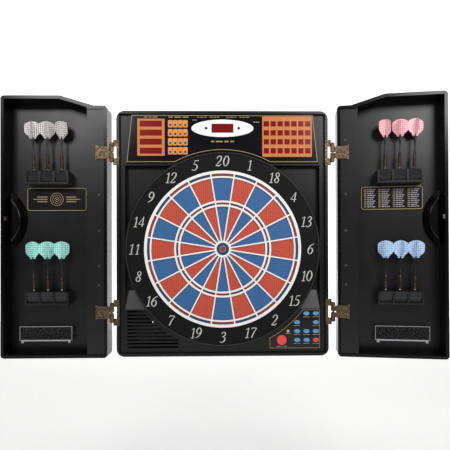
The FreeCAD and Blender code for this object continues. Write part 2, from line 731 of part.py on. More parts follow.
def control_pieces():
    """The corner panel, its buttons and lamp, and the electronics behind the face."""
    panel = new_body("control_overlay")
    middle_x = (panel_left + panel_right) / 2
    middle_z = (panel_top + panel_base) / 2
    width = panel_right - panel_left
    height = panel_top - panel_base
    pad(panel, box(sketch(panel, face), middle_x, middle_z, width, height), dim.panel_thickness)
    round_edges(panel, 6, runs_deep)
    cut(panel, disc(sketch(panel, panel_front), panel_arc), dim.panel_thickness)
    holes = sketch(panel, panel_front)
    for name, x, z in keys:
        oval(holes, x, z, dim.button_wide + dim.button_gap, dim.button_high + dim.button_gap)
    disc(holes, dim.big_button + dim.button_gap, *big_button_place)
    disc(holes, dim.lamp_radius + 0.05, *lamp_place)
    cut(panel, holes, dim.panel_thickness)
    keep(panel)

    back = skin_back - 0.2 - 1.5
    top = panel_front + dim.button_rise
    for name, x, z in keys + [("start_game_button", *big_button_place)]:
        body = new_body(name)
        if name == "start_game_button":
            wide, high = dim.big_button, dim.big_button
        else:
            wide, high = dim.button_wide, dim.button_high
        stem = 2.5
        pad(body, disc(sketch(body, back - stem), 2, x, z), size(stem))
        for start, length, grow in ((back, size(1.5), 1.2), (back, top - back, 0)):
            drawing = sketch(body, start)
            if wide is high:
                disc(drawing, wide + grow, x, z)
            else:
                oval(drawing, x, z, wide + grow, high + grow)
            pad(body, drawing, length)
        round_edges(body, 1.0, at_depth(top))
        keep(body)

    lamp = new_body("status_lamp")
    pad(lamp, disc(sketch(lamp, skin_back - 3), dim.lamp_radius, *lamp_place),
        panel_front + 1 - skin_back + 3)
    round_edges(lamp, 0.8, at_depth(panel_front + 1))
    keep(lamp)

    board_back = back - 6
    mainboard = new_body("main_circuit_board")
    pad(mainboard, box(sketch(mainboard, board_back), middle_x, middle_z, width, height), size(1.6))
    cut(mainboard, disc(sketch(mainboard, board_back + 1.6), panel_arc), size(1.6))
    chips = sketch(mainboard, board_back - 3)
    box(chips, size(205), size(-215), 26, 26)
    box(chips, size(160), size(-236), 18, 10)
    box(chips, size(225), size(-175), 14, 10)
    pad(mainboard, chips, size(3))
    keep(mainboard)

    board = new_body("display_circuit_board")
    height = console_top - console_base
    board_x = 2 * console_half_top - 12
    pad(board, box(sketch(board, board_back), size(0), console_base + height / 2, board_x,
                   height), size(1.6))
    cut(board, disc(sketch(board, board_back + 1.6), drum_radius + 2), size(1.6))
    digits = sketch(board, board_back + 1.6)
    box(digits, score_lens_x, lens_rows_z, dim.score_lens_width, 80)
    box(digits, size(0), badge_z, dim.centre_lens_width, dim.centre_lens_height)
    box(digits, cricket_x, lens_rows_z, 6 * dim.cricket_pitch + dim.cricket_lens_size, 80)
    pad(board, digits, size(6))
    keep(board)

    speaker = new_body("speaker")
    for start, radius, length in ((skin_back - 3.2, dim.speaker_radius, size(3)),
                                  (skin_back - 11, dim.speaker_radius - 6, size(7.8)),
                                  (skin_back - 18, dim.speaker_radius - 10, size(7))):
        pad(speaker, disc(sketch(speaker, start), radius, speaker_x, speaker_z), length)
    keep(speaker)

    jack = doc.addObject("Part::Cylinder", "JackBarrel")
    bind(jack, "Radius", dim.jack_radius)
    bind(jack, "Height", 14)
    put(jack, dim.jack_x, dim.jack_depth, dim.unit_base)
    bore = doc.addObject("Part::Cylinder", "JackBore")
    bind(bore, "Radius", dim.jack_bore)
    bind(bore, "Height", 10)
    put(bore, dim.jack_x, dim.jack_depth, dim.unit_base)
    socket = doc.addObject("Part::Cut", "power_socket")
    socket.Base = jack
    socket.Tool = bore
    keep(socket, "power_socket")


# ---------------------------------------------------------------- hinges and screws

HEAD_TO_ROOM = FreeCAD.Rotation(Vector(1, 0, 0), -90)
HEAD_TO_WALL = FreeCAD.Rotation(Vector(1, 0, 0), 90)
hinge_depth = dim.unit_depth + dim.closed_gap / 2


def screw_master():
    """A countersunk cross-head screw, its head at the origin and its shank along +Z."""
    body = new_body("ScrewMaster")
    profile = sketch(body, 0, "XZ_Plane")
    outline(profile, [(size(0), size(0)), (dim.screw_head, size(0)),
                      (dim.screw_shank, dim.screw_sink), (dim.screw_shank, dim.screw_length - 2),
                      (size(0), dim.screw_length)])
    spin(body, profile)
    cross = sketch(body, 0, "XY_Plane")
    box(cross, size(0), size(0), 3.4, 0.8)
    slot = feature(body, "Pocket", cross, 0.9)
    slot.Reversed = True
    cross = sketch(body, 0, "XY_Plane")
    box(cross, size(0), size(0), 0.8, 3.4)
    slot = feature(body, "Pocket", cross, 0.9)
    slot.Reversed = True
    return body


def hinge_pins():
    """Four pins with a small head at each end, one through each hinge's knuckles."""
    master = new_body("PinMaster")
    profile = sketch(master)
    half = dim.barrel_height / 2
    head = dim.pin_radius + dim.pin_fit + dim.pin_head
    outline(profile, [(size(0), -half - 2), (head, -half - 2), (head, -half - 0.1),
                      (dim.pin_radius, -half - 0.1), (dim.pin_radius, half + 0.1),
                      (head, half + 0.1), (head, half + 2), (size(0), half + 2)])
    spin(master, profile)
    upright = FreeCAD.Rotation()
    copies("hinge_pins", master, [(side * hinge_x, hinge_depth, z, upright)
                                  for side in (-1, 1) for z in hinge_heights])


def cabinet_leaves():
    """C-shaped leaves let into the main unit's rim, each with a top and a bottom knuckle."""
    body = new_body("hinge_cabinet_leaves")
    front = dim.unit_depth
    half = dim.cabinet_leaf_height / 2
    spine = 6
    split = dim.knuckle_split
    for side in (-1, 1):
        for z in hinge_heights:
            plate = sketch(body, front - dim.leaf_thickness)
            out = side * (hinge_x - dim.cabinet_leaf_width)
            waist = side * (hinge_x - dim.cabinet_leaf_width + spine)
            end = side * (hinge_x - dim.pin_radius - dim.pin_fit - 1)
            outline(plate, [(out, z - half), (end, z - half), (end, z - split),
                            (waist, z - split), (waist, z + split), (end, z + split),
                            (end, z + half), (out, z + half)])
            pad(body, plate, dim.leaf_thickness)
    knuckles(body, hinge_x, hinge_depth, knuckle_spans(outer=True), (-1, 1))
    for x, z in ear_screws:
        screw_hole(body, x, front, z)
    keep(body)


def knuckle_spans(outer):
    """The knuckles' lowest and highest points from the hinge's middle."""
    half = dim.barrel_height / 2
    split = dim.knuckle_split
    if outer:
        return [(-half, -split), (split, half)]
    return [(dim.knuckle_gap - split, size(-1.5)), (size(1.5), split - dim.knuckle_gap)]


def knuckles(body, x, depth, spans, sides):
    """Bored knuckles round the hinge axes."""
    for side in sides:
        for z in hinge_heights:
            for low, high in spans:
                drawing = sketch(body, z + low, "XY_Plane")
                disc(drawing, dim.knuckle_radius, side * x, -size(depth))
                disc(drawing, dim.pin_radius + dim.pin_fit, side * x, -size(depth))
                pad(body, drawing, high - low)


def door_leaves(side, name):
    """The door's flat leaves, with two knuckles each between the cabinet's."""
    body = new_body(name + "_hinge_leaves")
    back = -dim.closed_gap / 2 - dim.leaf_thickness
    for z in hinge_heights:
        low = dim.door_leaf_start
        end = low + dim.door_leaf_width
        near = dim.pin_radius + dim.pin_fit + 1
        half = dim.door_leaf_height / 2
        tab = dim.knuckle_split - dim.knuckle_gap
        plate = sketch(body, back)
        outline(plate, [(side * near, z - tab), (side * low, z - tab), (side * low, z - half + 3),
                        (side * (end - 6), z - half + 3), (side * (end - 3), z - half),
                        (side * end, z - half), (side * end, z + half),
                        (side * (end - 3), z + half), (side * (end - 6), z + half - 3),
                        (side * low, z + half - 3), (side * low, z + tab),
                        (side * near, z + tab), (side * near, z + 1.5),
                        (side * (low - 1), z + 1.5), (side * (low - 1), z - 1.5),
                        (side * near, z - 1.5)])
        pad(body, plate, dim.leaf_thickness)
    knuckles(body, 0, 0, knuckle_spans(outer=False), (side,))
    for z in hinge_heights:
        screw_hole(body, side * leaf_screw_u, -dim.closed_gap / 2, z)
    return body


leaf_screw_u = dim.door_leaf_start + dim.door_leaf_width * 0.6
edge = dim.hinge_offset


# ---------------------------------------------------------------- doors

def along(side, distance):
    """A place across a door, by its distance from the door's hinged edge."""
    return side * (edge + distance)


def door_outline(drawing, side, inset, start):
    """The door's outline, lower at the hinge and raised over its free half."""
    rise = door_high_top - door_low_top
    slope = rise / (dim.slope_end - dim.slope_start)
    low_top = door_low_top - inset
    high_top = door_high_top - inset
    base = door_base + inset
    free = door_width - inset
    points = [(start, base), (free, base), (free, high_top), (dim.slope_end + inset / 4, high_top)]
    if size(start).number < dim.slope_start.number:
        points += [(dim.slope_start + inset / 4, low_top), (start, low_top)]
    else:
        points.append((start, low_top + slope * (start - dim.slope_start - inset / 4)))
    return outline(drawing, [(along(side, u), z) for u, z in points])


def door_shell(side, name):
    """The moulded door: a tray with a thick rim, a hollow stile and a finger recess."""
    body = new_body(name + "_door_shell")
    rim = -dim.closed_gap / 2
    outer = rim - dim.door_depth
    floor = outer + dim.door_wall
    stile = rim - dim.stile_drop - dim.stile_thickness
    pad(body, door_outline(sketch(body, outer), side, size(0), size(0)), dim.door_depth)
    round_edges(body, dim.door_corner, runs_deep)
    cut(body, door_outline(sketch(body, rim), side, dim.door_rim, dim.stile_width), rim - floor)
    ledge = sketch(body, rim)
    stile_box(ledge, side, dim.door_rim, dim.stile_width)
    cut(body, ledge, rim - stile)
    hollow = sketch(body, stile)
    stile_box(hollow, side, dim.door_rim, dim.stile_width - dim.door_wall)
    cut(body, hollow, stile - floor)

    bulge = sketch(body, floor)
    grip_outline(bulge, side, dim.grip_deep, dim.grip_tall, dim.door_wall)
    dome = pad(body, bulge, dim.grip_height)
    dome.TaperAngle = -28
    round_edges(body, 5, at_depth(floor + dim.grip_height))
    scoop = sketch(body, outer)
    grip_outline(scoop, side, dim.grip_deep - dim.door_wall, dim.grip_tall - 2 * dim.door_wall,
                 dim.door_wall)
    doc.recompute()
    before = body.Shape.Volume
    recess = feature(body, "Pocket", scoop, dim.grip_height)
    recess.Reversed = True
    recess.TaperAngle = -28
    doc.recompute()
    if body.Shape.Volume > before - 1:
        raise ValueError("the finger recess cuts nothing")

    posts = sketch(body, floor)
    for z in hinge_heights + tuple(stile_screws):
        disc(posts, dim.boss_radius, stile_screw_x(side, z), z)
    pad(body, posts, stile - floor)
    seats = sketch(body, rim)
    for z in hinge_heights:
        box(seats, along(side, dim.door_rim / 2), z, dim.door_rim + 0.1, dim.door_leaf_height + 1)
    cut(body, seats, dim.leaf_thickness)
    for z in hinge_heights + tuple(stile_screws):
        screw_hole(body, stile_screw_x(side, z), stile, z, sunk=False)
    return body


stile_screws = [259 + 14, 137, 46, -42, -132 + 42]


def stile_screw_x(side, z):
    """Where a screw of the stile stands; the hinge's own screw is under its leaf."""
    if z in hinge_heights:
        return side * leaf_screw_u
    return along(side, 21)


def stile_box(drawing, side, start, end):
    """The stile's long rectangle between two distances from the hinged edge."""
    low = door_base + dim.door_rim
    high = door_low_top - dim.door_rim
    return box(drawing, along(side, (size(start) + end) / 2), (low + high) / 2, end - start,
               high - low)


def grip_outline(drawing, side, deep, tall, inset):
    """A half-round outline against the door's free edge."""
    deep = size(deep)
    half = size(tall) / 2
    radius = (half * half + deep * deep) / (2 * deep)
    middle = along(side, door_width - inset - deep + radius)
    reach = math.asin(half.number / radius.number)
    facing = 0 if side < 0 else math.pi
    circle = Part.Circle(Vector(middle.number, dim.grip_z.number, 0), Vector(0, 0, 1),
                         radius.number)
    arc = drawing.addGeometry(Part.ArcOfCircle(circle, facing - reach, facing + reach), False)
    ends = (drawing.getPoint(arc, START), drawing.getPoint(arc, END))
    chord = drawing.addGeometry(Part.LineSegment(ends[1], ends[0]), False)
    fix(drawing, "Coincident", arc, END, chord, START)
    fix(drawing, "Coincident", chord, END, arc, START)
    fix_point(drawing, arc, CENTRE, middle, dim.grip_z)
    fix(drawing, "Radius", arc, value=radius)
    fix(drawing, "Vertical", chord)
    fix(drawing, "DistanceX", ORIGIN, START, chord, START,
        value=along(side, door_width - inset))
    return drawing


def stile_cover(side, name):
    """The long cover strip over the door's hollow stile, with a raised seat for each leaf."""
    body = new_body(name + "_door_stile")
    rim = -dim.closed_gap / 2
    stile = rim - dim.stile_drop - dim.stile_thickness
    strip = sketch(body, stile)
    room = dim.fit
    stile_box(strip, side, dim.door_rim + room, dim.stile_width - room)
    pad(body, strip, dim.stile_thickness)
    seats = sketch(body, stile + dim.stile_thickness)
    start = dim.door_rim + room
    end = dim.door_leaf_start + dim.door_leaf_width - edge + 1.5
    for z in hinge_heights:
        box(seats, along(side, (start + end) / 2), z, end - start, dim.door_leaf_height)
    pad(body, seats, dim.stile_drop - dim.leaf_thickness)
    for z in stile_screws:
        screw_hole(body, stile_screw_x(side, z), stile + dim.stile_thickness, z)
    for z in hinge_heights:
        screw_hole(body, stile_screw_x(side, z), rim - dim.leaf_thickness, z, sunk=False)
    return body


def door_screws(side, name, screw):
    """The door's screws: one in each hinge leaf and five in the stile cover."""
    rim = -dim.closed_gap / 2
    stile_front = rim - dim.stile_drop
    group = doc.addObject("Part::Compound", name + "_door_screws")
    links = []
    for z in hinge_heights + tuple(stile_screws):
        link = doc.addObject("App::Link", name + "ScrewCopy")
        link.LinkedObject = screw
        depth = rim if z in hinge_heights else stile_front
        links.append(put(link, stile_screw_x(side, z), depth, z, HEAD_TO_ROOM))
    group.Links = links
    group.Label = name + "_door_screws"
    return group


def dart_holders(side, name):
    """Two holders, each with three V-shaped bays and a lip with a hole for each dart's tip."""
    body = new_body(name + "_dart_holders")
    back = dim.door_wall - dim.closed_gap / 2 - dim.door_depth
    for base in (dim.holder_upper, dim.holder_lower):
        block = box(sketch(body, back), along(side, dim.holder_middle), base
                    + dim.holder_height / 2, dim.holder_width, dim.holder_height)
        pad(body, block, dim.holder_reach)
    for base in (dim.holder_upper, dim.holder_lower):
        bays = sketch(body, base + dim.holder_height, "XY_Plane")
        for step in (-1, 0, 1):
            middle = along(side, dim.holder_middle + step * dim.dart_pitch)
            wide = dim.dart_pitch / 2 - 2
            front = -(back + dim.holder_reach + 1)
            outline(bays, [(middle - wide, front), (middle + wide, front),
                           (middle + 5, -(back + 6)), (middle - 5, -(back + 6))])
        cut(body, bays, dim.holder_height - dim.holder_lip)
        holes = sketch(body, base + dim.holder_lip, "XY_Plane")
        for step in (-1, 0, 1):
            disc(holes, dim.tip_radius + 0.35, along(side, dim.holder_middle + step
                 * dim.dart_pitch), -(back + dim.dart_stand))
        cut(body, holes, dim.holder_lip)
    return body


def door_plate(side, name):
    """The thin printed plate in the middle of the door."""
    body = new_body(name)
    back = dim.door_wall - dim.closed_gap / 2 - dim.door_depth
    pad(body, box(sketch(body, back), along(side, dim.plate_start + dim.plate_width / 2),
                  dim.plate_z, dim.plate_width, dim.plate_height), size(1.2))
    round_edges(body, 5, runs_deep)
    return body


def clear_tray(side, name):
    """A clear box, open at its top, for spare tips and flights."""
    body = new_body(name + "_clear_tray")
    back = dim.door_wall - dim.closed_gap / 2 - dim.door_depth
    wall = dim.tray_wall
    middle = along(side, dim.tray_middle)
    pad(body, box(sketch(body, back), middle, dim.tray_base + dim.tray_height / 2, dim.tray_width,
                  dim.tray_height), dim.tray_depth)
    well = sketch(body, dim.tray_base + dim.tray_height, "XY_Plane")
    box(well, middle, -(back + dim.tray_depth / 2), dim.tray_width - 2 * wall,
        dim.tray_depth - 2 * wall)
    cut(body, well, dim.tray_height - wall)
    return body


def door_magnet(side, name):
    """The catch at the free edge: a magnet in one door, a steel strike in the other."""
    body = new_body(name)
    u = door_width - dim.door_rim - dim.magnet_thickness
    plan = sketch(body, -dim.closed_gap / 2 - dim.magnet_size - 2)
    box(plan, along(side, u + dim.magnet_thickness / 2), dim.magnet_z, dim.magnet_thickness,
        dim.magnet_size)
    pad(body, plan, dim.magnet_size)
    return body


def dart_master():
    """A soft-tip dart, point down, with its origin where the barrel meets the tip."""
    turned = {}
    half = dim.tip_radius
    barrel_end = dim.barrel_length
    shaft_end = barrel_end + dim.shaft_length
    for part_name, profile in (
            ("DartTip", [(size(0), -dim.tip_length), (half, -dim.tip_length + 8),
                         (half, size(0)), (size(0), size(0))]),
            ("DartBarrel", [(size(0), size(0)), (dim.barrel_radius - 1, size(0)),
                            (dim.barrel_radius, size(5)), (dim.barrel_radius, barrel_end - 4),
                            (dim.shaft_radius, barrel_end), (size(0), barrel_end)]),
            ("DartShaft", [(size(0), barrel_end), (dim.shaft_radius, barrel_end),
                           (dim.shaft_radius, shaft_end), (size(0), shaft_end)])):
        turned[part_name] = new_body(part_name)
        spin(turned[part_name], outline(sketch(turned[part_name]), profile))
    flight = new_body("DartFlight")
    wide = dim.flight_half
    tall = dim.flight_height
    for role in ("XZ_Plane", "YZ_Plane"):
        vane = sketch(flight, 0, role)
        outline(vane, [(size(0), shaft_end), (wide, shaft_end + tall * 0.42),
                       (wide, shaft_end + tall * 0.8), (wide * 0.5, shaft_end + tall),
                       (-wide * 0.5, shaft_end + tall), (-wide, shaft_end + tall * 0.8),
                       (-wide, shaft_end + tall * 0.42)])
        pad(flight, vane, dim.flight_sheet, middle=True)
    group = doc.addObject("Part::Compound", "DartMaster")
    group.Links = list(turned.values()) + [flight]
    return group


def dart_set(side, label, base, dart):
    """Three darts standing in a holder, tips through its lip."""
    back = dim.door_wall - dim.closed_gap / 2 - dim.door_depth
    group = doc.addObject("Part::Compound", label)
    links = []
    for step in (-1, 0, 1):
        link = doc.addObject("App::Link", label + "Copy")
        link.LinkedObject = dart
        x = along(side, dim.holder_middle + step * dim.dart_pitch)
        links.append(put(link, x, back + dim.dart_stand, base + dim.holder_height + 1))
    group.Links = links
    group.Label = label
    return group


def hang(thing, side, ajar):
    """Hangs a door's piece on its hinge axis, standing the given angle short of wide open."""
    put(thing, side * hinge_x, hinge_depth, 0, FreeCAD.Rotation(Vector(0, 0, 1), 1))
    bind(thing, "Placement.Rotation.Angle", size(-side) * ajar)
    return keep(thing)


def doors(screw):
    """Both doors, each with everything that is fixed to it and the darts that stand in it."""
    dart = dart_master()
    for side, name, ajar, plate, catch, colours in (
            (-1, "left", dim.left_door_ajar, "left_emblem_plate", "left_catch_magnet",
             ("left_upper_darts", "left_lower_darts")),
            (1, "right", dim.right_door_ajar, "right_score_plate", "right_catch_strike",
             ("right_upper_darts", "right_lower_darts"))):
        pieces = [door_shell(side, name), stile_cover(side, name), door_leaves(side, name),
                  dart_holders(side, name), door_plate(side, plate), clear_tray(side, name),
                  door_magnet(side, catch), door_screws(side, name, screw),
                  dart_set(side, colours[0], dim.holder_upper, dart),
                  dart_set(side, colours[1], dim.holder_lower, dart)]
        for piece in pieces:
            hang(piece, side, ajar)


# ---------------------------------------------------------------- the assembly

front_housing()
rear_cover()
board_pieces()
segments()
display_pieces()
control_pieces()
screw_piece = screw_master()
places = [(x, 0, z, HEAD_TO_WALL) for x, z in cover_screws]
places += [(x, spider_back - 6 - dim.backing_thickness, z, HEAD_TO_WALL)
           for x, z in backing_screws]
places += [(x, dim.unit_depth, z, HEAD_TO_ROOM) for x, z in ear_screws]
copies("unit_screws", screw_piece, places)
hinge_pins()
cabinet_leaves()
doors(screw_piece)
doc.recompute()

for thing in doc.Objects:
    if "Invalid" in thing.State or "Error" in thing.State:
        raise ValueError(f"{thing.Name} did not build: {thing.State}")
for thing in nodes:
    if thing.Shape.isNull() or not thing.Shape.isValid() or not thing.Shape.Solids:
        raise ValueError(f"{thing.Label} has no valid solid")

os.makedirs("parts", exist_ok=True)
for thing in nodes:
    thing.Shape.exportStep(f"parts/{thing.Label}.step")
    print(f"{thing.Label}: {len(thing.Shape.Solids)} solids, {thing.Shape.Volume / 1000:.1f} cm3")
print(len(nodes), "nodes")
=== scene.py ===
# %% [markdown]
# # A dart board cabinet, finish by finish
# The cabinet hangs on a wall with its two doors open. Its structure comes from a CAD model,
# already in metres and in place, so this lesson only gives every part its real finish and adds
# what is printed, cast or turned too finely for the CAD model: numbers, trim lines, darts.

# %% Load the frame
import json
import math
import random

import bmesh
import bpy
from mathutils import Matrix, Vector


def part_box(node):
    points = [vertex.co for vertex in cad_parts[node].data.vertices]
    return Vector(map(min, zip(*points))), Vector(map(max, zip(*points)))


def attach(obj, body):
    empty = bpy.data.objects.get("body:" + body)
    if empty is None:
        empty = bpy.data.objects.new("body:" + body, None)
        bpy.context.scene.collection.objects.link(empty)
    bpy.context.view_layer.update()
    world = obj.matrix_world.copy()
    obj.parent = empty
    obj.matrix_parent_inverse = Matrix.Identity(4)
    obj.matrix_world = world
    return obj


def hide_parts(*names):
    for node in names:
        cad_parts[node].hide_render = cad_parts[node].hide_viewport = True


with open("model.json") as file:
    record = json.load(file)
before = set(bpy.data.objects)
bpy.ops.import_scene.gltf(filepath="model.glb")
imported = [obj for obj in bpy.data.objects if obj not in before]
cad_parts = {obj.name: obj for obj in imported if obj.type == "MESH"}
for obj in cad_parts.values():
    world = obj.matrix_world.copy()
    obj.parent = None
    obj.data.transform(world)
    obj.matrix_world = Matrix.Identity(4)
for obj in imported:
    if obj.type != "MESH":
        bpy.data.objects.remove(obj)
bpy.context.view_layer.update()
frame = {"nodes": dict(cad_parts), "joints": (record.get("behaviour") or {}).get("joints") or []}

# %% [markdown]
# ## Units, colours and nodes
# Lengths are written in millimetres, as on a drawing, and turned to Blender's metres by one
# factor. Colours are written as sRGB hex, as a paint chart gives them, but shader sockets want
# linear light, so one function converts them. Another adds a shader node with its links.

# %% Small helpers
MM = 0.001


def linear(code):
    """The linear colour of an sRGB hex code."""
    shares = [int(code[i:i + 2], 16) / 255 for i in (1, 3, 5)]
    return [s / 12.92 if s <= 0.04045 else ((s + 0.055) / 1.055) ** 2.4 for s in shares] + [1.0]


def add(material, kind, inputs, **settings):
    """One shader node; each input is a value or another node's output."""
    node = material.node_tree.nodes.new("ShaderNode" + kind)
    for name, value in settings.items():
        setattr(node, name, value)
    for name, value in inputs.items():
        if isinstance(value, bpy.types.NodeSocket):
            material.node_tree.links.new(value, node.inputs[name])
        else:
            node.inputs[name].default_value = value
    return node


def finish(name, colour, roughness, **sockets):
    """A new material and its main shader, with constants set on the shader's own sockets."""
    material = bpy.data.materials.new(name)
    material.use_nodes = True
    shader = material.node_tree.nodes["Principled BSDF"]
    shader.inputs["Base Color"].default_value = linear(colour)
    shader.inputs["Roughness"].default_value = roughness
    for socket, value in sockets.items():
        shader.inputs[socket.replace("_", " ")].default_value = value
    return material, shader


def wire(material, source, socket):
    """Links a node's output to a socket of the main shader."""
    material.node_tree.links.new(source, socket)


# %% [markdown]
# ## Camera and light
# The cabinet is seen from the front at little more than a metre, level with the board's
# middle, so both doors show the inside of their deep rims. The camera is a hair off level, as
# a hand-set tripod is, and a small shift puts the board a little below the middle of the view.

# %% Camera
scene = bpy.context.scene
scene.view_settings.view_transform = "Standard"
CAMERA_PLACE = (-0.0036, -1.165, -0.0115)
YAW, PITCH, ROLL = math.radians(-0.98), math.radians(90.33), math.radians(-0.18)

lens = bpy.data.cameras.new("camera")
camera = bpy.data.objects.new("camera", lens)
scene.collection.objects.link(camera)
camera.location = CAMERA_PLACE
aim = Matrix.Rotation(YAW, 3, "Z") @ Matrix.Rotation(PITCH, 3, "X") @ Matrix.Rotation(ROLL, 3, "Z")
camera.rotation_euler = aim.to_euler()
lens.sensor_width = 36
lens.lens = 35.26
lens.shift_x = -0.0087
lens.shift_y = 0.0578
scene.camera = camera
print("lens", round(lens.lens, 1), "mm, shift", round(lens.shift_x, 4), round(lens.shift_y, 4))

# %% [markdown]
# Black plastic shows only what it reflects, so the lights are large: a softbox over each
# shoulder throws the darts' shadows inward and down, a strip above lights the sloping edges,
# and a dim surround keeps the deepest corners from going quite black.

# %% Lights


def softbox(name, place, target, width, height, power):
    """A rectangular studio light that looks at a point."""
    lamp = bpy.data.lights.new(name, "AREA")
    lamp.shape = "RECTANGLE"
    lamp.size = width
    lamp.size_y = height
    lamp.energy = power
    stand = bpy.data.objects.new(name, lamp)
    stand.location = place
    stand.rotation_euler = (Vector(target) - Vector(place)).to_track_quat("-Z", "Y").to_euler()
    scene.collection.objects.link(stand)


softbox("softbox_right", (0.85, -1.30, 0.86), (0.35, 0, 0.15), 0.6, 0.5, 13)
softbox("softbox_left", (-0.80, -1.30, 0.88), (-0.35, 0, 0.15), 0.5, 0.4, 8)
softbox("softbox_top", (0, -0.75, 1.5), (0, -0.05, 0), 1.2, 0.25, 7)
print(len(bpy.data.lights), "lights")

world = bpy.data.worlds.new("pale_room")
world.use_nodes = True
world.node_tree.nodes["Background"].inputs["Color"].default_value = linear("#f4f6f8")
world.node_tree.nodes["Background"].inputs["Strength"].default_value = 0.10
scene.world = world

# %% [markdown]
# The cabinet hangs free in front of white paper: a floor well below it and a wall far behind,
# both faintly glowing so that they stay white whatever the lights do.

# %% Floor and backdrop


def paper(name, glow):
    """Matt white studio paper."""
    return finish(name, "#f6f6f4", 0.9, Emission_Color=linear("#ffffff"), Emission_Strength=glow)[0]


FLOOR_DROP = 0.78
STUDIO_REACH = 4.0
for name, glow, turn, place in (
    ("floor", 0.45, 0, (0, 0, -FLOOR_DROP)),
    ("backdrop", 1.0, 90, (0, STUDIO_REACH, STUDIO_REACH - FLOOR_DROP)),
):
    bm = bmesh.new()
    bmesh.ops.create_grid(bm, x_segments=2, y_segments=2, size=STUDIO_REACH)
    spot = Matrix.Translation(place) @ Matrix.Rotation(math.radians(turn), 4, "X")
    bmesh.ops.transform(bm, matrix=spot, verts=bm.verts)
    sheet = bpy.data.meshes.new(name)
    bm.to_mesh(sheet)
    bm.free()
    sheet.materials.append(paper(name + "_paper", glow))
    surface = bpy.data.objects.new(name, sheet)
    scene.collection.objects.link(surface)
print("floor and backdrop laid")

# %% [markdown]
# ## Moulded plastics
# Nearly all of the cabinet is injection-moulded ABS. The mould is spark-eroded, which leaves a
# fine grain that breaks up the gloss; thick and thin walls cool differently, which changes the
# sheen slowly from place to place. One function makes both, from the grain's real width.

# %% Moulded plastic
SHEEN_WIDTH = 90 * MM
SHEEN_SWING = 0.07


def moulded(name, colour, light, roughness, grain, depth=0.02, **sockets):
    """Moulded plastic; grain and its depth are in millimetres."""
    material, shader = finish(name, colour, roughness, **sockets)
    place = add(material, "TexCoord", {}).outputs["Object"]
    pits = add(material, "TexNoise", {"Vector": place, "Scale": 1 / (grain * MM), "Detail": 2.0})
    bump = add(material, "Bump", {"Height": pits.outputs["Fac"], "Distance": depth * MM, "Strength": 0.5})
    wire(material, bump.outputs["Normal"], shader.inputs["Normal"])
    slow = add(material, "TexNoise", {"Vector": place, "Scale": 1 / SHEEN_WIDTH, "Detail": 3.0})
    tint = add(material, "Mix", {0: slow.outputs["Fac"], 6: linear(colour), 7: linear(light)},
               data_type="RGBA")
    wire(material, tint.outputs[2], shader.inputs["Base Color"])
    gloss = add(material, "MapRange", {"Value": slow.outputs["Fac"], "To Min": roughness - SHEEN_SWING,
                                       "To Max": roughness + SHEEN_SWING})
    wire(material, gloss.outputs["Result"], shader.inputs["Roughness"])
    return material


# Spark-eroded black ABS: the unit's front, softly shining.
housing_abs = moulded("black_abs_housing", "#070708", "#0c0c0d", 0.36, 0.9, Specular_IOR_Level=0.4)
# The doors are the same plastic, polished on the rims and the round finger grip.
door_abs = moulded("black_abs_doors", "#030304", "#060607", 0.24, 0.9, Specular_IOR_Level=0.28)
# Their inner panels have a leather grain that looks greyer.
leather_abs = moulded("leather_grain_abs", "#070608", "#0c0b0d", 0.36, 1.6, 0.05, Specular_IOR_Level=0.5)
# The dart holders are smoother mouldings, so their facets catch light; their black is a lighter grey than the
# other mouldings, painted light for that.
holder_abs_painted_light = moulded("black_abs_holders_painted_light", "#17171a", "#202024", 0.30, 0.7)
# White ABS of the web between the segments: glossy enough to read as a bright line.
spider_abs = moulded("white_abs_web", "#eceae7", "#f6f4f2", 0.35, 0.8)
# Black rubber, steel and boards inside the unit.
mat_rubber = moulded("black_rubber", "#101010", "#191919", 0.85, 2.5, 0.1)
# The black nylon of the power socket is also laid on the holders' scoops as painted shade.
nylon_and_scoop_shade = moulded("black_nylon_and_scoop_shade", "#0c0c0d", "#141414", 0.5, 0.6)
print("moulded plastics made")

# %% [markdown]
# ## Perforated plastic
# A soft-tip board is full of holes, a few millimetres apart, for the dart tips. A Voronoi
# texture with no randomness is a square grid of cells, and the distance to each cell's middle
# gives round holes: they dent the bump and are painted darker, painted shade that stands for
# the shadow inside each hole. The real holes are 1.6 mm wide at 2.6 mm; they are drawn a
# little coarser so that they show.

# %% Perforated plastic


def perforated(name, colour, light, hole_shade_colour, roughness, pitch, hole, **sockets):
    """Plastic with a grid of holes, their insides painted dark as shade; pitch and hole radius in
    millimetres.
    """
    material, shader = finish(name, colour, roughness, **sockets)
    place = add(material, "TexCoord", {}).outputs["Object"]
    facing = add(material, "Mapping", {"Vector": place,
                                       "Rotation": (math.radians(90), math.radians(45), 0)})
    cells = add(material, "TexVoronoi", {"Vector": facing.outputs["Vector"], "Scale": 1 / (pitch * MM),
                                         "Randomness": 0.0}, voronoi_dimensions="2D")
    rim = hole / pitch
    solid = add(material, "MapRange", {"Value": cells.outputs["Distance"], "From Min": rim * 0.7,
                                       "From Max": rim * 1.3})
    slow = add(material, "TexNoise", {"Vector": place, "Scale": 1 / (40 * MM), "Detail": 4.0})
    tint = add(material, "Mix", {0: slow.outputs["Fac"], 6: linear(colour), 7: linear(light)},
               data_type="RGBA")
    # Inside each hole the colour turns to the darker hole colour: painted shade for the hole's depth.
    holes_painted_dark = add(material, "Mix", {0: solid.outputs["Result"], 6: linear(hole_shade_colour), 7: tint.outputs[2]},
                  data_type="RGBA")
    wire(material, holes_painted_dark.outputs[2], shader.inputs["Base Color"])
    bump = add(material, "Bump", {"Height": solid.outputs["Result"], "Distance": 0.3 * MM, "Strength": 0.5})
    wire(material, bump.outputs["Normal"], shader.inputs["Normal"])
    return material


# Red-orange and blue polypropylene segments.
segment_red = perforated("red_pp_segments", "#c0452f", "#cc5038", "#802a1f", 0.5, 3.4, 0.75)
segment_blue = perforated("blue_pp_segments", "#2a6096", "#3468a2", "#173a60", 0.5, 3.4, 0.75)
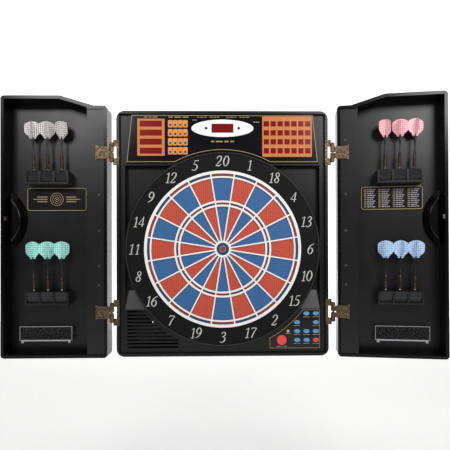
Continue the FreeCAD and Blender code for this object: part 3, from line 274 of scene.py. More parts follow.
# Double and triple beds are thin and sunk between the web's walls, so they read darker; their darker copies
# of the segment plastics, also laid on the two bulls, are painted shade.
bed_red_painted_shade = perforated("red_pp_beds_painted_shade", "#8f382d", "#9c4034", "#5e221b", 0.45, 3.4, 0.75)
bed_blue_painted_shade = perforated("blue_pp_beds_painted_shade", "#243f5e", "#2a4969", "#142840", 0.45, 3.4, 0.75)
# The catch ring round the board: black, with the same holes.
ring_abs = perforated("black_abs_ring", "#020202", "#040404", "#000000", 0.65, 3.6, 0.9,
                      Specular_IOR_Level=0.22)
# The outer edge of that ring, a lighter grey: a painted highlight on its bead.
ring_edge_painted_highlight = moulded("abs_edge_painted_highlight", "#2c2b2c", "#3a393a", 0.3, 0.9)
print("perforated plastics made")

# %% [markdown]
# ## Printed sheets, lenses and paints
# The console is a glossy printed sheet with windows of dark red plastic over the displays.
# Print is a film of ink, so each colour of it gets its own thin piece and its own finish.

# %% Sheets, inks and lenses


def inked(name, colour, light, roughness, blotch, **sockets):
    """Screen-printed ink, whose film is a little uneven; blotch in millimetres."""
    material, shader = finish(name, colour, roughness, **sockets)
    place = add(material, "TexCoord", {}).outputs["Object"]
    cloud = add(material, "TexNoise", {"Vector": place, "Scale": 1 / (blotch * MM), "Detail": 5.0})
    tint = add(material, "Mix", {0: cloud.outputs["Fac"], 6: linear(colour), 7: linear(light)},
               data_type="RGBA")
    wire(material, tint.outputs[2], shader.inputs["Base Color"])
    film = add(material, "Bump", {"Height": cloud.outputs["Fac"], "Distance": 0.01 * MM, "Strength": 0.3})
    wire(material, film.outputs["Normal"], shader.inputs["Normal"])
    return material


console_sheet = inked("gloss_black_sheet", "#08080a", "#0e0e11", 0.16, 60)
orange_ink = inked("orange_ink", "#bf6a2c", "#cf7d3c", 0.45, 9)
pad_ink = inked("amber_pad", "#d08138", "#e09a54", 0.45, 6)
gold_ink = inked("dull_gold_ink", "#8d7b52", "#a8946a", 0.4, 8)
numeral_paint = inked("grey_numeral_paint", "#b4b3ac", "#cbcac3", 0.45, 5)
bezel_abs = inked("pearl_white_bezel", "#f2eef0", "#fdfcfc", 0.3, 2.2)
plate_black = inked("gloss_black_plate", "#0c0c0e", "#131316", 0.25, 25)
grey_ink = inked("grey_ink", "#8d8a8c", "#aaa7a9", 0.5, 4)
dot_ink = inked("burnt_brown_dot", "#3a0f08", "#4f190d", 0.4, 2)
halo_ink = inked("pale_halo_ink", "#9a8d98", "#b3a6ae", 0.45, 3)


# A wave texture runs through this many radians in each unit of its scale.
WAVE_RATE = 20


def lens_plastic(name, colour, light, stripe):
    """Tinted display window: faint upright stripes are the lamps behind it, in millimetres."""
    material, shader = finish(name, colour, 0.18, Coat_Weight=0.3, Emission_Strength=0.12)
    place = add(material, "TexCoord", {}).outputs["Object"]
    lamps = add(material, "TexWave", {"Vector": place, "Scale": math.tau / WAVE_RATE / (stripe * MM),
                                      "Distortion": 0.4, "Detail": 1.0},
                wave_type="BANDS", bands_direction="X")
    glow = add(material, "Mix", {0: lamps.outputs["Fac"], 6: linear(colour), 7: linear(light)},
               data_type="RGBA")
    wire(material, glow.outputs[2], shader.inputs["Base Color"])
    wire(material, glow.outputs[2], shader.inputs["Emission Color"])
    return material


display_red = lens_plastic("red_display_window", "#5e0608", "#8a1012", 5)
lamp_amber = inked("cream_lamp", "#b09b80", "#d8c6ab", 0.3, 3)
button_blue = inked("blue_button", "#3f86c2", "#62a2d6", 0.28, 7)
button_red = inked("red_button", "#d8353c", "#ee565a", 0.28, 9)
print("inks and lenses made")

# %% [markdown]
# ## Metals, acrylic and the hidden pieces
# The hinges are antique bronze: brass, darkened in a bath and rubbed bright again on its high
# spots, so a blotchy brown. The catch is zinc-plated, the screws are blackened and the trays are
# clear acrylic.

# %% Metals and the rest


def metal(name, colour, patina, roughness, blotch, scratch):
    """A metal with a blotchy surface and fine scratches; both widths in millimetres."""
    material, shader = finish(name, colour, roughness, Metallic=1.0)
    place = add(material, "TexCoord", {}).outputs["Object"]
    cloud = add(material, "TexNoise", {"Vector": place, "Scale": 1 / (blotch * MM), "Detail": 6.0,
                                       "Roughness": 0.65})
    worn = add(material, "MapRange", {"Value": cloud.outputs["Fac"], "From Min": 0.35, "From Max": 0.65})
    tint = add(material, "Mix", {0: worn.outputs["Result"], 6: linear(patina), 7: linear(colour)},
               data_type="RGBA")
    wire(material, tint.outputs[2], shader.inputs["Base Color"])
    matt = add(material, "MapRange", {"Value": worn.outputs["Result"], "To Min": roughness + 0.15,
                                      "To Max": roughness})
    wire(material, matt.outputs["Result"], shader.inputs["Roughness"])
    fine = add(material, "TexNoise", {"Vector": place, "Scale": 1 / (scratch * MM), "Detail": 3.0})
    bump = add(material, "Bump", {"Height": fine.outputs["Fac"], "Distance": 0.05 * MM, "Strength": 0.4})
    wire(material, bump.outputs["Normal"], shader.inputs["Normal"])
    return material


bronze = metal("antique_bronze", "#8e7860", "#463829", 0.42, 5, 1.2)
zinc = metal("zinc_plated_steel", "#b9bbbd", "#85878a", 0.32, 4, 0.8)
# Blackened screws under a soft film of dirt.
black_steel = metal("blackened_screws", "#6a6a6c", "#4c4c4f", 0.6, 3, 0.8)
speaker_paper = moulded("black_speaker_paper", "#0a0a0a", "#121212", 0.8, 2.0)
brass = metal("dark_brass_barrel", "#6a5e4c", "#2d2721", 0.5, 6, 0.7)
nickel = metal("nickel_collar", "#d9cfc8", "#a79c94", 0.25, 4, 0.7)
magnet_ferrite = moulded("ferrite_magnet", "#2b2b2d", "#39393b", 0.6, 0.8)
fibreboard = moulded("hardboard", "#5b4128", "#7a5a3a", 0.8, 3.0, 0.1)
circuit_green = moulded("green_circuit_board", "#1c5a34", "#256b40", 0.4, 6)
sensor_film = moulded("sensor_film", "#b8b39a", "#cbc7b0", 0.3, 12)
nylon_black = moulded("black_nylon_shaft", "#0f0f10", "#1b1b1d", 0.35, 1.0)
tip_nylon = moulded("black_soft_tip", "#121213", "#1d1d1f", 0.45, 1.0)

acrylic, acrylic_shader = finish("clear_acrylic", "#15171b", 0.08, Alpha=0.16)
place = add(acrylic, "TexCoord", {}).outputs["Object"]
wear = add(acrylic, "TexNoise", {"Vector": place, "Scale": 1 / (14 * MM), "Detail": 6.0})
haze = add(acrylic, "MapRange", {"Value": wear.outputs["Fac"], "To Min": 0.04, "To Max": 0.2})
wire(acrylic, haze.outputs["Result"], acrylic_shader.inputs["Roughness"])
print("metals and acrylic made")

# %% [markdown]
# ## Finishes on the CAD parts
# Each CAD node keeps its mesh and gets a finish in its material slots. A table from node to
# finish is easier to read than sixty assignments.

# %% Dress the CAD nodes
NODE_FINISH = {
    "front_housing": housing_abs, "rear_cover": housing_abs, "number_ring": ring_abs, "spider": spider_abs,
    "backing_plate": fibreboard, "rubber_mat": mat_rubber, "sensor_membrane": sensor_film,
    "single_segments_red": segment_red, "single_segments_blue": segment_blue,
    "double_segments_red": bed_red_painted_shade, "double_segments_blue": bed_blue_painted_shade,
    "triple_segments_red": bed_red_painted_shade, "triple_segments_blue": bed_blue_painted_shade,
    "outer_bull": bed_blue_painted_shade, "inner_bull": bed_red_painted_shade,
    "display_overlay": console_sheet, "control_overlay": console_sheet, "display_bezel": bezel_abs,
    "score_display_lenses": display_red, "cricket_display_lenses": display_red,
    "centre_display_lens": display_red, "status_lamp": lamp_amber,
    "main_circuit_board": circuit_green, "display_circuit_board": circuit_green,
    "speaker": speaker_paper, "power_socket": nylon_and_scoop_shade, "unit_screws": black_steel,
    "hinge_pins": bronze, "hinge_cabinet_leaves": bronze,
    "left_emblem_plate": plate_black, "right_score_plate": plate_black,
    "left_catch_magnet": magnet_ferrite, "right_catch_strike": zinc,
    "power_button": button_red, "start_game_button": button_red,
}
DOOR_FINISH = {
    "_door_shell": door_abs, "_door_stile": leather_abs, "_hinge_leaves": bronze, "_dart_holders": holder_abs_painted_light,
    "_clear_tray": acrylic, "_door_screws": black_steel, "_upper_darts": nylon_black,
    "_lower_darts": nylon_black,
}
for part, chosen in DOOR_FINISH.items():
    NODE_FINISH["left" + part] = NODE_FINISH["right" + part] = chosen
for node, thing in frame["nodes"].items():
    chosen = NODE_FINISH.get(node, button_blue)
    for slot in thing.material_slots:
        slot.material = chosen
print(len(frame["nodes"]), "nodes dressed")

# %% [markdown]
# ## How a new piece is made
# Pieces are drawn flat, as on paper, x to the right and y up, with z coming out of the paper.
# One matrix then stands the paper up against the cabinet, and a second one swings it with
# the right-hand door, which stands a few degrees short of flat.

# %% Place and finish pieces
STAND_UP = Matrix.Rotation(math.radians(90), 4, "X")
hinges = {joint["child"]: joint for joint in frame["joints"]}
# The right door mirrors the left one, whose x is negative.
MIRROR = {"left": 1, "right": -1}


def on_front(x, depth, z, turn=0):
    """The matrix that puts a drawing on the cabinet, depth metres out of the wall."""
    return Matrix.Translation((x, -depth, z)) @ STAND_UP @ Matrix.Rotation(turn, 4, "Z")


def on_door(side, x, depth, z):
    """The same for a drawing on a door; x is where it would be with the door flat open."""
    flat = on_front(x, depth, z)
    if side == "left":
        return flat
    hinge = hinges["right_door"]
    axle = Matrix.Translation(hinge["pos_m"])
    ajar = Matrix.Rotation(math.radians(hinge["range_deg"][0]), 4, "Z")
    return axle @ ajar @ axle.inverted() @ flat


def seen(node):
    """How far a node's face stands out, its middle's x and z, its width and its height."""
    low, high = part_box(node)
    return -low.y, (low.x + high.x) / 2, (low.z + high.z) / 2, high.x - low.x, high.z - low.z


def spread(bm, matrix, verts=None):
    """Moves a bmesh, or some of its vertices, by a matrix."""
    bmesh.ops.transform(bm, matrix=matrix, verts=verts or bm.verts)


def thicken(bm, thickness):
    """Gives a flat drawing its thickness, out of the paper."""
    raised = bmesh.ops.extrude_face_region(bm, geom=list(bm.faces))
    risen = [part for part in raised["geom"] if isinstance(part, bmesh.types.BMVert)]
    bmesh.ops.translate(bm, vec=(0, 0, thickness), verts=risen)


def piece(name, bm, body, slot, *materials, smooth=35):
    """A finished piece from a bmesh: closed, normals outward, riding on a body."""
    bmesh.ops.remove_doubles(bm, verts=bm.verts, dist=1e-6)
    bmesh.ops.recalc_face_normals(bm, faces=bm.faces)
    mesh = bpy.data.meshes.new(name)
    bm.to_mesh(mesh)
    bm.free()
    for material in materials:
        mesh.materials.append(material)
    mesh.shade_smooth()
    mesh.set_sharp_from_angle(angle=math.radians(smooth))
    made = bpy.data.objects.new(name, mesh)
    scene.collection.objects.link(made)
    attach(made, body)
    print(name, len(mesh.polygons), "faces on", body)
    return made


def raised(name, bm, rise, matrix, body, slot, material):
    """A piece from a flat drawing, which is thickened and then stood up by a matrix."""
    thicken(bm, rise)
    spread(bm, matrix)
    piece(name, bm, body, slot, material)


def rectangle(bm, x, y, width, height, corner=0.0):
    """Draws a flat rectangle about (x, y), with round corners if asked."""
    made = bmesh.ops.create_grid(bm, x_segments=1, y_segments=1, size=0.5)["verts"]
    spread(bm, Matrix.Translation((x, y, 0)) @ Matrix.Diagonal((width, height, 1, 1)), made)
    if corner:
        bmesh.ops.bevel(bm, geom=made, offset=corner, segments=4, profile=0.5, affect="VERTICES",
                        material=-1)


def disc(bm, x, y, radius, segments=24):
    """Draws a flat disc."""
    bmesh.ops.create_circle(bm, cap_ends=True, segments=segments, radius=radius,
                            matrix=Matrix.Translation((x, y, 0)))


def ring(bm, x, y, outer, inner, segments=96):
    """Draws a flat ring."""
    edges = []
    for radius in (outer, inner):
        made = bmesh.ops.create_circle(bm, cap_ends=False, segments=segments, radius=radius,
                                       matrix=Matrix.Translation((x, y, 0)))["verts"]
        edges += {edge for vert in made for edge in vert.link_edges}
    bmesh.ops.bridge_loops(bm, edges=edges)


# %% [markdown]
# ## Numerals
# The twenty numbers are slanted roman figures, thick and thin like pen strokes. A font would
# have to be loaded, so each figure is written with a pen instead: a curve through a few
# points, whose radius swells and thins, then flattened until it stands a hair above the ring.

# %% Ten figures
# Each point is (across, up, pen radius) in hundredths of the figure's height.
PEN_STROKES = {
    "0": [[(28, 98, 4), (9, 74, 7.5), (5, 50, 8.5), (9, 26, 7.5), (28, 2, 4), (47, 26, 7.5), (51, 50, 8.5),
           (47, 74, 7.5), (28, 98, 4)]],
    "1": [[(12, 80, 2.5), (22, 87, 4), (33, 97, 5)], [(33, 97, 5.5), (33, 50, 6.5), (33, 4, 6)],
          [(15, 2, 3), (33, 2, 4.5), (51, 2, 3)]],
    "2": [[(7, 72, 5), (11, 90, 5), (28, 98, 4.5), (45, 88, 7), (46, 70, 8), (33, 42, 6), (6, 5, 4)],
          [(6, 5, 5.5), (40, 5, 6.5), (53, 19, 2.5)]],
    "3": [[(8, 82, 4), (26, 98, 4.5), (44, 86, 7.5), (40, 66, 6), (20, 54, 3)],
          [(20, 54, 3), (42, 46, 6), (49, 26, 8.5), (36, 5, 6), (17, 1, 4), (4, 9, 5.5)]],
    "4": [[(41, 98, 3), (22, 62, 3), (3, 29, 3.5)], [(3, 28, 3.5), (30, 28, 4), (56, 28, 3.5)],
          [(41, 98, 5), (41, 50, 6.5), (41, 3, 6)]],
    "5": [[(54, 97, 3), (36, 95, 5.5), (18, 95, 4)], [(18, 95, 3.5), (12, 58, 3)],
          [(12, 58, 3), (36, 55, 6), (49, 32, 8.5), (37, 7, 6), (17, 1, 4), (3, 9, 5.5)]],
    "6": [[(52, 98, 3), (27, 84, 5.5), (9, 54, 7.5), (8, 24, 8), (26, 1, 4.5), (46, 15, 7.5), (47, 42, 7.5),
           (31, 57, 4), (12, 44, 3)]],
    "7": [[(7, 80, 3), (10, 94, 5), (34, 95, 5.5), (55, 94, 4)],
          [(55, 94, 3.5), (34, 50, 6.5), (21, 2, 7.5)]],
    "8": [[(28, 98, 4), (12, 78, 6), (28, 55, 6), (46, 28, 8), (28, 2, 4), (8, 26, 7), (28, 53, 5),
           (44, 76, 6.5), (28, 98, 4)]],
}
# A nine is a six turned upside down.
PEN_STROKES["9"] = [[(56 - x, 100 - y, r) for x, y, r in stroke] for stroke in PEN_STROKES["6"]]
FIGURE_HEIGHT = 26 * MM
FIGURE_RISE = 0.5 * MM
SLANT = 0.20
PEN_WEIGHT = 0.74


def figure_mesh(figure):
    """One figure as a flattened mesh, its foot at y = 0."""
    pen = bpy.data.curves.new("pen", "CURVE")
    pen.dimensions = "3D"
    pen.bevel_depth = 1.0
    pen.bevel_resolution = 1
    pen.resolution_u = 5
    pen.use_fill_caps = True
    scale = FIGURE_HEIGHT / 100
    for stroke in PEN_STROKES[figure]:
        line = pen.splines.new("BEZIER")
        closed = stroke[0] == stroke[-1]
        points = stroke[:-1] if closed else stroke
        line.bezier_points.add(len(points) - 1)
        line.use_cyclic_u = closed
        for knot, (x, y, radius) in zip(line.bezier_points, points):
            knot.co = ((x + SLANT * y) * scale, y * scale, 0)
            knot.radius = radius * PEN_WEIGHT * scale
            knot.handle_left_type = knot.handle_right_type = "AUTO"
    drawn = bpy.data.objects.new("pen", pen)
    mesh = bpy.data.meshes.new_from_object(drawn)
    bpy.data.objects.remove(drawn)
    return mesh


figures = {figure: figure_mesh(figure) for figure in "0123456789"}
print("figures drawn,", sum(len(mesh.polygons) for mesh in figures.values()), "faces")

# %% Twenty numbers on the ring
BOARD_ORDER = (20, 1, 18, 4, 13, 6, 10, 15, 2, 17, 3, 19, 7, 16, 8, 11, 14, 9, 12, 5)
ring_low, ring_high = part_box("number_ring")
RING_BEAD_RISE = 1.2 * MM
ring_face = -ring_low.y - RING_BEAD_RISE
NUMERAL_RADIUS = ring_high.x - 21.5 * MM
FIGURE_STEP = 0.70 * FIGURE_HEIGHT
NARROW_STEP = 0.56 * FIGURE_HEIGHT
HALF_FIGURE = 0.38 * FIGURE_HEIGHT
PEN_DEPTH = 0.08 * FIGURE_HEIGHT
flatten = Matrix.Diagonal((1, 1, FIGURE_RISE / PEN_DEPTH, 1))

bm = bmesh.new()
for order, number in enumerate(BOARD_ORDER):
    angle = math.radians(18) * order
    steps = [NARROW_STEP if figure == "1" else FIGURE_STEP for figure in str(number)]
    middle = HALF_FIGURE + (sum(steps) - steps[-1]) / 2
    x = NUMERAL_RADIUS * math.sin(angle) - middle
    z = NUMERAL_RADIUS * math.cos(angle) - FIGURE_HEIGHT / 2
    for figure, step in zip(str(number), steps):
        known = set(bm.verts)
        bm.from_mesh(figures[figure])
        fresh = [vert for vert in bm.verts if vert not in known]
        spread(bm, on_front(x, ring_face, z) @ flatten, fresh)
        x += step
piece("board_numerals", bm, "root", "bezel_white", numeral_paint, smooth=60)

# %% Painted highlight on the ring's edge
# The ring's outer bead catches the light as a thin lighter line: a painted highlight in a lighter grey.
RING_EDGE = 1.6 * MM
edge_radius = ring_high.x - 0.3 * MM
bm = bmesh.new()
ring(bm, 0, 0, edge_radius, edge_radius - RING_EDGE)
raised("ring_edge", bm, 0.2 * MM, on_front(0, -ring_low.y, 0), "root", "ring_plastic", ring_edge_painted_highlight)

# %% [markdown]
# ## Trim lines
# A thin gold line frames the console and the key panel. Both outlines have one side hollowed
# by the board's circle. A line is the outline's face, inset by the line's width, with the
# middle thrown away.

# %% Outlines hollowed by the board


def arc(radius, start, end, steps):
    """Points of a circle about the board's middle, between two angles."""
    return [(radius * math.cos(start + (end - start) * i / steps),
             radius * math.sin(start + (end - start) * i / steps)) for i in range(steps + 1)]


def framed(bm, points, width):
    """Draws the border of an outline."""
    face = bm.faces.new([bm.verts.new((x, y, 0)) for x, y in points])
    bmesh.ops.recalc_face_normals(bm, faces=[face])
    bmesh.ops.inset_region(bm, faces=[face], thickness=width, use_even_offset=True, use_boundary=True)
    bmesh.ops.delete(bm, geom=[face], context="FACES")


LINE = 1.5 * MM
INK = 0.15 * MM
over_low, over_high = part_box("display_overlay")
on_console = on_front(0, -over_low.y, 0)
TOP_CORNER_IN = 12.5 * MM
ARC_RADIUS = 249 * MM
edge_in = 0.6 * MM
foot = over_low.z + edge_in
half_foot = over_high.x - edge_in
half_top = half_foot - TOP_CORNER_IN
arc_start = math.asin(foot / ARC_RADIUS)

bm = bmesh.new()
framed(bm, [(half_foot, foot), (half_top, over_high.z - edge_in), (-half_top, over_high.z - edge_in),
            (-half_foot, foot)] + arc(ARC_RADIUS, math.pi - arc_start, arc_start, 40), LINE)
raised("console_trim_line", bm, INK, on_console, "root", "lamp_amber", gold_ink)

# %% Key panel line
panel_low, panel_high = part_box("control_overlay")
on_panel = on_front(0, -panel_low.y, 0)
PANEL_ARC = 253 * MM
PANEL_LINE = 1.0 * MM
left, right = panel_low.x + edge_in, panel_high.x - edge_in
base, top = panel_low.z + edge_in, panel_high.z - edge_in
bm = bmesh.new()
framed(bm, [(left, base), (right, base), (right, top)]
       + arc(PANEL_ARC, math.asin(top / PANEL_ARC), -math.acos(left / PANEL_ARC), 24), PANEL_LINE)
raised("key_panel_trim_line", bm, INK, on_panel, "root", "lamp_amber", gold_ink)

# %% [markdown]
# ## Console print
# Orange fields frame the score windows, raised a little so that each window sits in its own
# shallow well. A field is a rectangle that is cut along every window edge; the faces that lie
# in a window are deleted.

# %% Fields with windows
FRAME_RISE = 0.9 * MM


def field(name, low, high, windows, material, corner=2 * MM):
    """An ink field with windows; each window is its low and high corner."""
    bm = bmesh.new()
    rectangle(bm, (low[0] + high[0]) / 2, (low[1] + high[1]) / 2, high[0] - low[0], high[1] - low[1],
              corner)
    for axis in (0, 1):
        normal = Vector((1 - axis, axis, 0))
        for cut in sorted({round(window[end][axis], 6) for window in windows for end in (0, 1)}):
            bmesh.ops.bisect_plane(bm, geom=list(bm.verts) + list(bm.edges) + list(bm.faces),
                                   plane_co=normal * cut, plane_no=normal, dist=1e-7)
    middles = [(face, face.calc_center_median()) for face in bm.faces]
    gone = [face for face, middle in middles
            if any(a[0] < middle.x < b[0] and a[1] < middle.y < b[1] for a, b in windows)]
    bmesh.ops.delete(bm, geom=gone, context="FACES")
    raised(name, bm, FRAME_RISE, on_console, "root", "lamp_amber", material)


def windows_of(node, columns, rows, width, height):
    """The windows of a display, spread evenly over the node's box."""
    low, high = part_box(node)
    found = []
    for i in range(columns):
        for j in range(rows):
            x = low.x + (high.x - low.x - width) * (i / (columns - 1) if columns > 1 else 0)
            z = low.z + (high.z - low.z - height) * j / (rows - 1)
            found.append(((x, z), (x + width, z + height)))
    return found


score_low, score_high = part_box("score_display_lenses")
score_width = score_high.x - score_low.x
SCORE_HEIGHT = 15 * MM
BORDER = 6.2 * MM
field("score_frame_print", (score_low.x - BORDER, score_low.z - 5 * MM),
      (score_high.x + BORDER + 1 * MM, score_high.z + 5 * MM),
      windows_of("score_display_lenses", 1, 4, score_width, SCORE_HEIGHT), orange_ink)

# %% Cricket field
cricket_low, cricket_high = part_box("cricket_display_lenses")
CRICKET_WINDOW = 13.4 * MM
field("cricket_field_print", (cricket_low.x - 3.5 * MM, cricket_low.z - 8.5 * MM),
      (cricket_high.x + 3.8 * MM, cricket_high.z + 12 * MM),
      windows_of("cricket_display_lenses", 7, 4, CRICKET_WINDOW, CRICKET_WINDOW), orange_ink)

# %% [markdown]
# Beside the score windows each player has an amber pad with four small lamps. The pads are
# slightly domed labels, so their edge is bevelled.

# %% Player pads and their dots
PAD_WIDTH = 50 * MM
PAD_HEIGHT = 18.4 * MM
PAD_MIDDLE_X = -112 * MM
PAD_GAP = 0.6 * MM
DOT_DROP = 3.0 * MM
DOT_RADIUS = 2.8 * MM
PAD_PITCH = (score_high.z - score_low.z - SCORE_HEIGHT) / 3
pads = bmesh.new()
dots = bmesh.new()
for row in range(4):
    z = score_low.z + SCORE_HEIGHT / 2 + row * PAD_PITCH
    for column in range(4):
        x = PAD_MIDDLE_X + (column - 1.5) * PAD_WIDTH / 4
        rectangle(pads, x, z, PAD_WIDTH / 4 - PAD_GAP, PAD_HEIGHT, 2.4 * MM)
        disc(dots, x, z - DOT_DROP, DOT_RADIUS, 20)
raised("player_pads", pads, 0.5 * MM, on_console, "root", "lamp_amber", pad_ink)
raised("player_dots", dots, 0.7 * MM, on_console, "root", "lamp_amber", dot_ink)

# %% [markdown]
# The labels are tiny gold words. Words aren't needed to say what they are, so each label is
# a row of short dashes of uneven length, as a designer greeks small print.

# %% Label dashes
label_dice = random.Random(7)


def dashes(bm, x, y, width, height, words):
    """A row of dashes centred on (x, y)."""
    shares = [label_dice.uniform(0.6, 1.4) for _ in range(words)]
    gap = width * 0.07
    unit = (width - gap * (words - 1)) / sum(shares)
    at = x - width / 2
    for share in shares:
        rectangle(bm, at + share * unit / 2, y, share * unit, height)
        at += share * unit + gap


bezel_low, bezel_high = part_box("display_bezel")
bezel_z = (bezel_low.z + bezel_high.z) / 2
bm = bmesh.new()
label_row = over_high.z - 5.2 * MM
dashes(bm, -180 * MM, label_row, 34 * MM, 2.0 * MM, 3)
dashes(bm, -110 * MM, label_row, 50 * MM, 2.6 * MM, 3)
for x in (-52, -20, 22, 55):
    dashes(bm, x * MM, label_row, 24 * MM, 1.6 * MM, 3)
dashes(bm, -70 * MM, bezel_high.z - 1 * MM, 11 * MM, 1.6 * MM, 1)
dashes(bm, 85 * MM, bezel_high.z - 6 * MM, 15 * MM, 2.2 * MM, 2)
dashes(bm, 0, bezel_low.z - 11 * MM, 58 * MM, 3.4 * MM, 4)
raised("console_label_dashes", bm, INK, on_console, "root", "lamp_amber", gold_ink)

# %% Labels printed on the cricket field
brown_ink = inked("brown_label_ink", "#b0682c", "#c27a3c", 0.4, 5)
cricket_pitch = (cricket_high.x - cricket_low.x - CRICKET_WINDOW) / 6
bm = bmesh.new()
for column in range(7):
    x = cricket_low.x + CRICKET_WINDOW / 2 + column * cricket_pitch
    dashes(bm, x, cricket_high.z + 5.5 * MM, 9 * MM, 2.4 * MM, 2)
    dashes(bm, x, cricket_low.z - 4.2 * MM, 9 * MM, 1.8 * MM, 2)
on_field = on_front(0, -over_low.y + FRAME_RISE - 0.1 * MM, 0)
raised("cricket_label_dashes", bm, 0.2 * MM, on_field, "root", "lamp_amber", brown_ink)

# %% [markdown]
# ## Lamps in the oval bezel
# Two dark domes sit either side of the middle display. A dome is a low-sided lathe shape:
# a quarter circle spun about its axis.

# %% Domes


def lathe(bm, profile, steps=24):
    """Spins a profile of (radius, height) points about the z axis."""
    known = set(bm.verts)
    verts = [bm.verts.new((radius, 0, height)) for radius, height in profile]
    edges = [bm.edges.new(pair) for pair in zip(verts, verts[1:])]
    bmesh.ops.spin(bm, geom=verts + edges, cent=(0, 0, 0), axis=(0, 0, 1), angle=math.tau, steps=steps,
                   use_merge=True)
    fresh = [vert for vert in bm.verts if vert not in known]
    bmesh.ops.remove_doubles(bm, verts=fresh, dist=1e-6)
    return [vert for vert in bm.verts if vert not in known]


DOME_RADIUS = 3.5 * MM
DOME_RISE = 1.1 * MM
DOME_SINK = 0.2 * MM
LAMP_OUT = 41 * MM
blue_black_lamp = inked("blue_black_lamp", "#161a33", "#232848", 0.15, 2)
dome = [(0, -DOME_SINK), (DOME_RADIUS, -DOME_SINK)]
dome += [(DOME_RADIUS * math.cos(a), DOME_RISE * math.sin(a)) for a in (0, 0.5, 1.0, math.pi / 2)]
bm = bmesh.new()
for x in (-LAMP_OUT, LAMP_OUT):
    spread(bm, on_front(x, -bezel_low.y, bezel_z), lathe(bm, dome))
piece("bezel_lamps", bm, "root", "console_gloss", blue_black_lamp)

# %% Halo round the inner bull
bull_front = -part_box("outer_bull")[0].y
inner_bull_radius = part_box("inner_bull")[1].x
bm = bmesh.new()
ring(bm, 0, 0, inner_bull_radius + 1.6 * MM, inner_bull_radius + 0.4 * MM, 48)
raised("bull_halo", bm, INK, on_front(0, bull_front, 0), "outer_bull", "bezel_white", halo_ink)

# %% Dashes under the keys
LABEL_WIDTHS = {"start_game_button": 26 * MM, "status_lamp": 13 * MM}
OVAL_LABEL = 16 * MM
bm = bmesh.new()
for node in frame["nodes"]:
    if node.endswith("_button") or node == "status_lamp":
        low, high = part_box(node)
        across = LABEL_WIDTHS.get(node, OVAL_LABEL)
        x = min((low.x + high.x) / 2, panel_high.x - across / 2 - 2 * MM)
        dashes(bm, x, low.z - 2.6 * MM, across, 1.4 * MM, 2)
raised("key_label_dashes", bm, INK, on_panel, "root", "lamp_amber", gold_ink)

# %% [markdown]
# ## Door plates
# Each door has a small black plate with a gold border. The left one shows a dart board
# between two bars, and the right one a table of short lines.

# %% Plate prints
plate_front, plate_middle, plate_z, plate_width, plate_height = seen("left_emblem_plate")
BORDER_IN = 1.5 * MM
BORDER_CORNER = 6 * MM
BORDER_LINE = 1.7 * MM


def plate_border(bm):
    """A line just inside the plate's edge."""
    across = plate_width / 2 - BORDER_IN - BORDER_CORNER
    up = plate_height / 2 - BORDER_IN - BORDER_CORNER
    outline = []
    for turn, x, y in ((0, 1, 1), (1, -1, 1), (2, -1, -1), (3, 1, -1)):
        for step in range(5):
            angle = math.pi / 2 * (turn + step / 4)
            outline.append((x * across + BORDER_CORNER * math.cos(angle),
                            y * up + BORDER_CORNER * math.sin(angle)))
    framed(bm, outline, BORDER_LINE)


bm = bmesh.new()
plate_border(bm)
for outer, inner in ((17, 15.6), (11.5, 10.3), (6, 4.8)):
    ring(bm, 0, 0, outer * MM, inner * MM, 48)
disc(bm, 0, 0, 1.8 * MM)
for side in (-1, 1):
    for row, width in ((-6, 26), (0, 36), (6, 26)):
        rectangle(bm, side * (24 * MM + width / 2 * MM), row * MM, width * MM, 2.4 * MM, 1 * MM)
on_plate = on_door("left", plate_middle, plate_front, plate_z)
raised("left_plate_print", bm, INK, on_plate, "left_door", "plate_black", gold_ink)

# %% Table on the right plate
bm = bmesh.new()
plate_border(bm)
grey = bmesh.new()
COLUMN_PITCH = 36 * MM
ROW_PITCH = 4.9 * MM
for column in range(4):
    for row in range(10):
        x = (column - 1.5) * COLUMN_PITCH
        z = (4.5 - row) * ROW_PITCH
        dashes(bm, x - 12 * MM, z, 6 * MM, 2.2 * MM, 1)
        length = (20 - row % 3 * 2.5) * MM
        dashes(grey, x - 7 * MM + length / 2, z, length, 2.4 * MM, 3)
on_plate = on_door("right", -plate_middle, plate_front, plate_z)
raised("right_plate_print", bm, INK, on_plate, "right_door", "plate_black", gold_ink)
raised("right_plate_table", grey, INK, on_plate, "right_door", "plate_black", grey_ink)

# %% [markdown]
# ## Details of the doors
# Inside its rim each door has a grained panel. Its top follows the door's slope, and an arc is
# cut out of its free side round the finger grip; the arc's radius comes from the grip's depth
# and height.

# %% Leather-grained inner panels
PANEL_THICKNESS = 0.3 * MM
DOOR_RIM = 8.5 * MM
DOOR_WALL = 3 * MM
STILE_WIDTH = 51.5 * MM
SLOPE_END = 119 * MM
SLOPE_RISE = 20 * MM
GRIP_DEEP = 46.5 * MM
GRIP_TALL = 153 * MM
GRIP_Z = 75 * MM
shell_low, shell_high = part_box("left_door_shell")
hinge_edge = -shell_high.x
free_edge = -shell_low.x
floor_depth = -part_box("left_emblem_plate")[1].y
grip_radius = (GRIP_TALL ** 2 / 4 + GRIP_DEEP ** 2) / (2 * GRIP_DEEP)
grip_centre = free_edge - DOOR_WALL - GRIP_DEEP + grip_radius
inner_free = free_edge - DOOR_RIM
bend = math.acos((grip_centre - inner_free) / grip_radius)
panel_low_z = shell_low.z + DOOR_RIM
panel_high_z = shell_high.z - DOOR_RIM
outline = [(hinge_edge + STILE_WIDTH, panel_low_z), (inner_free, panel_low_z)]
for step in range(17):
    angle = bend * (step / 8 - 1)
    outline.append((grip_centre - grip_radius * math.cos(angle),
                    GRIP_Z + grip_radius * math.sin(angle)))
outline += [(inner_free, panel_high_z), (hinge_edge + SLOPE_END, panel_high_z),
            (hinge_edge + STILE_WIDTH, panel_high_z - SLOPE_RISE)]
for side, sign in MIRROR.items():
    bm = bmesh.new()
    bm.faces.new([bm.verts.new((-sign * x, z, 0)) for x, z in outline][::sign])
    raised(side + "_inner_panel", bm, PANEL_THICKNESS, on_door(side, 0, floor_depth, 0), side + "_door",
           "door_plastic", leather_abs)
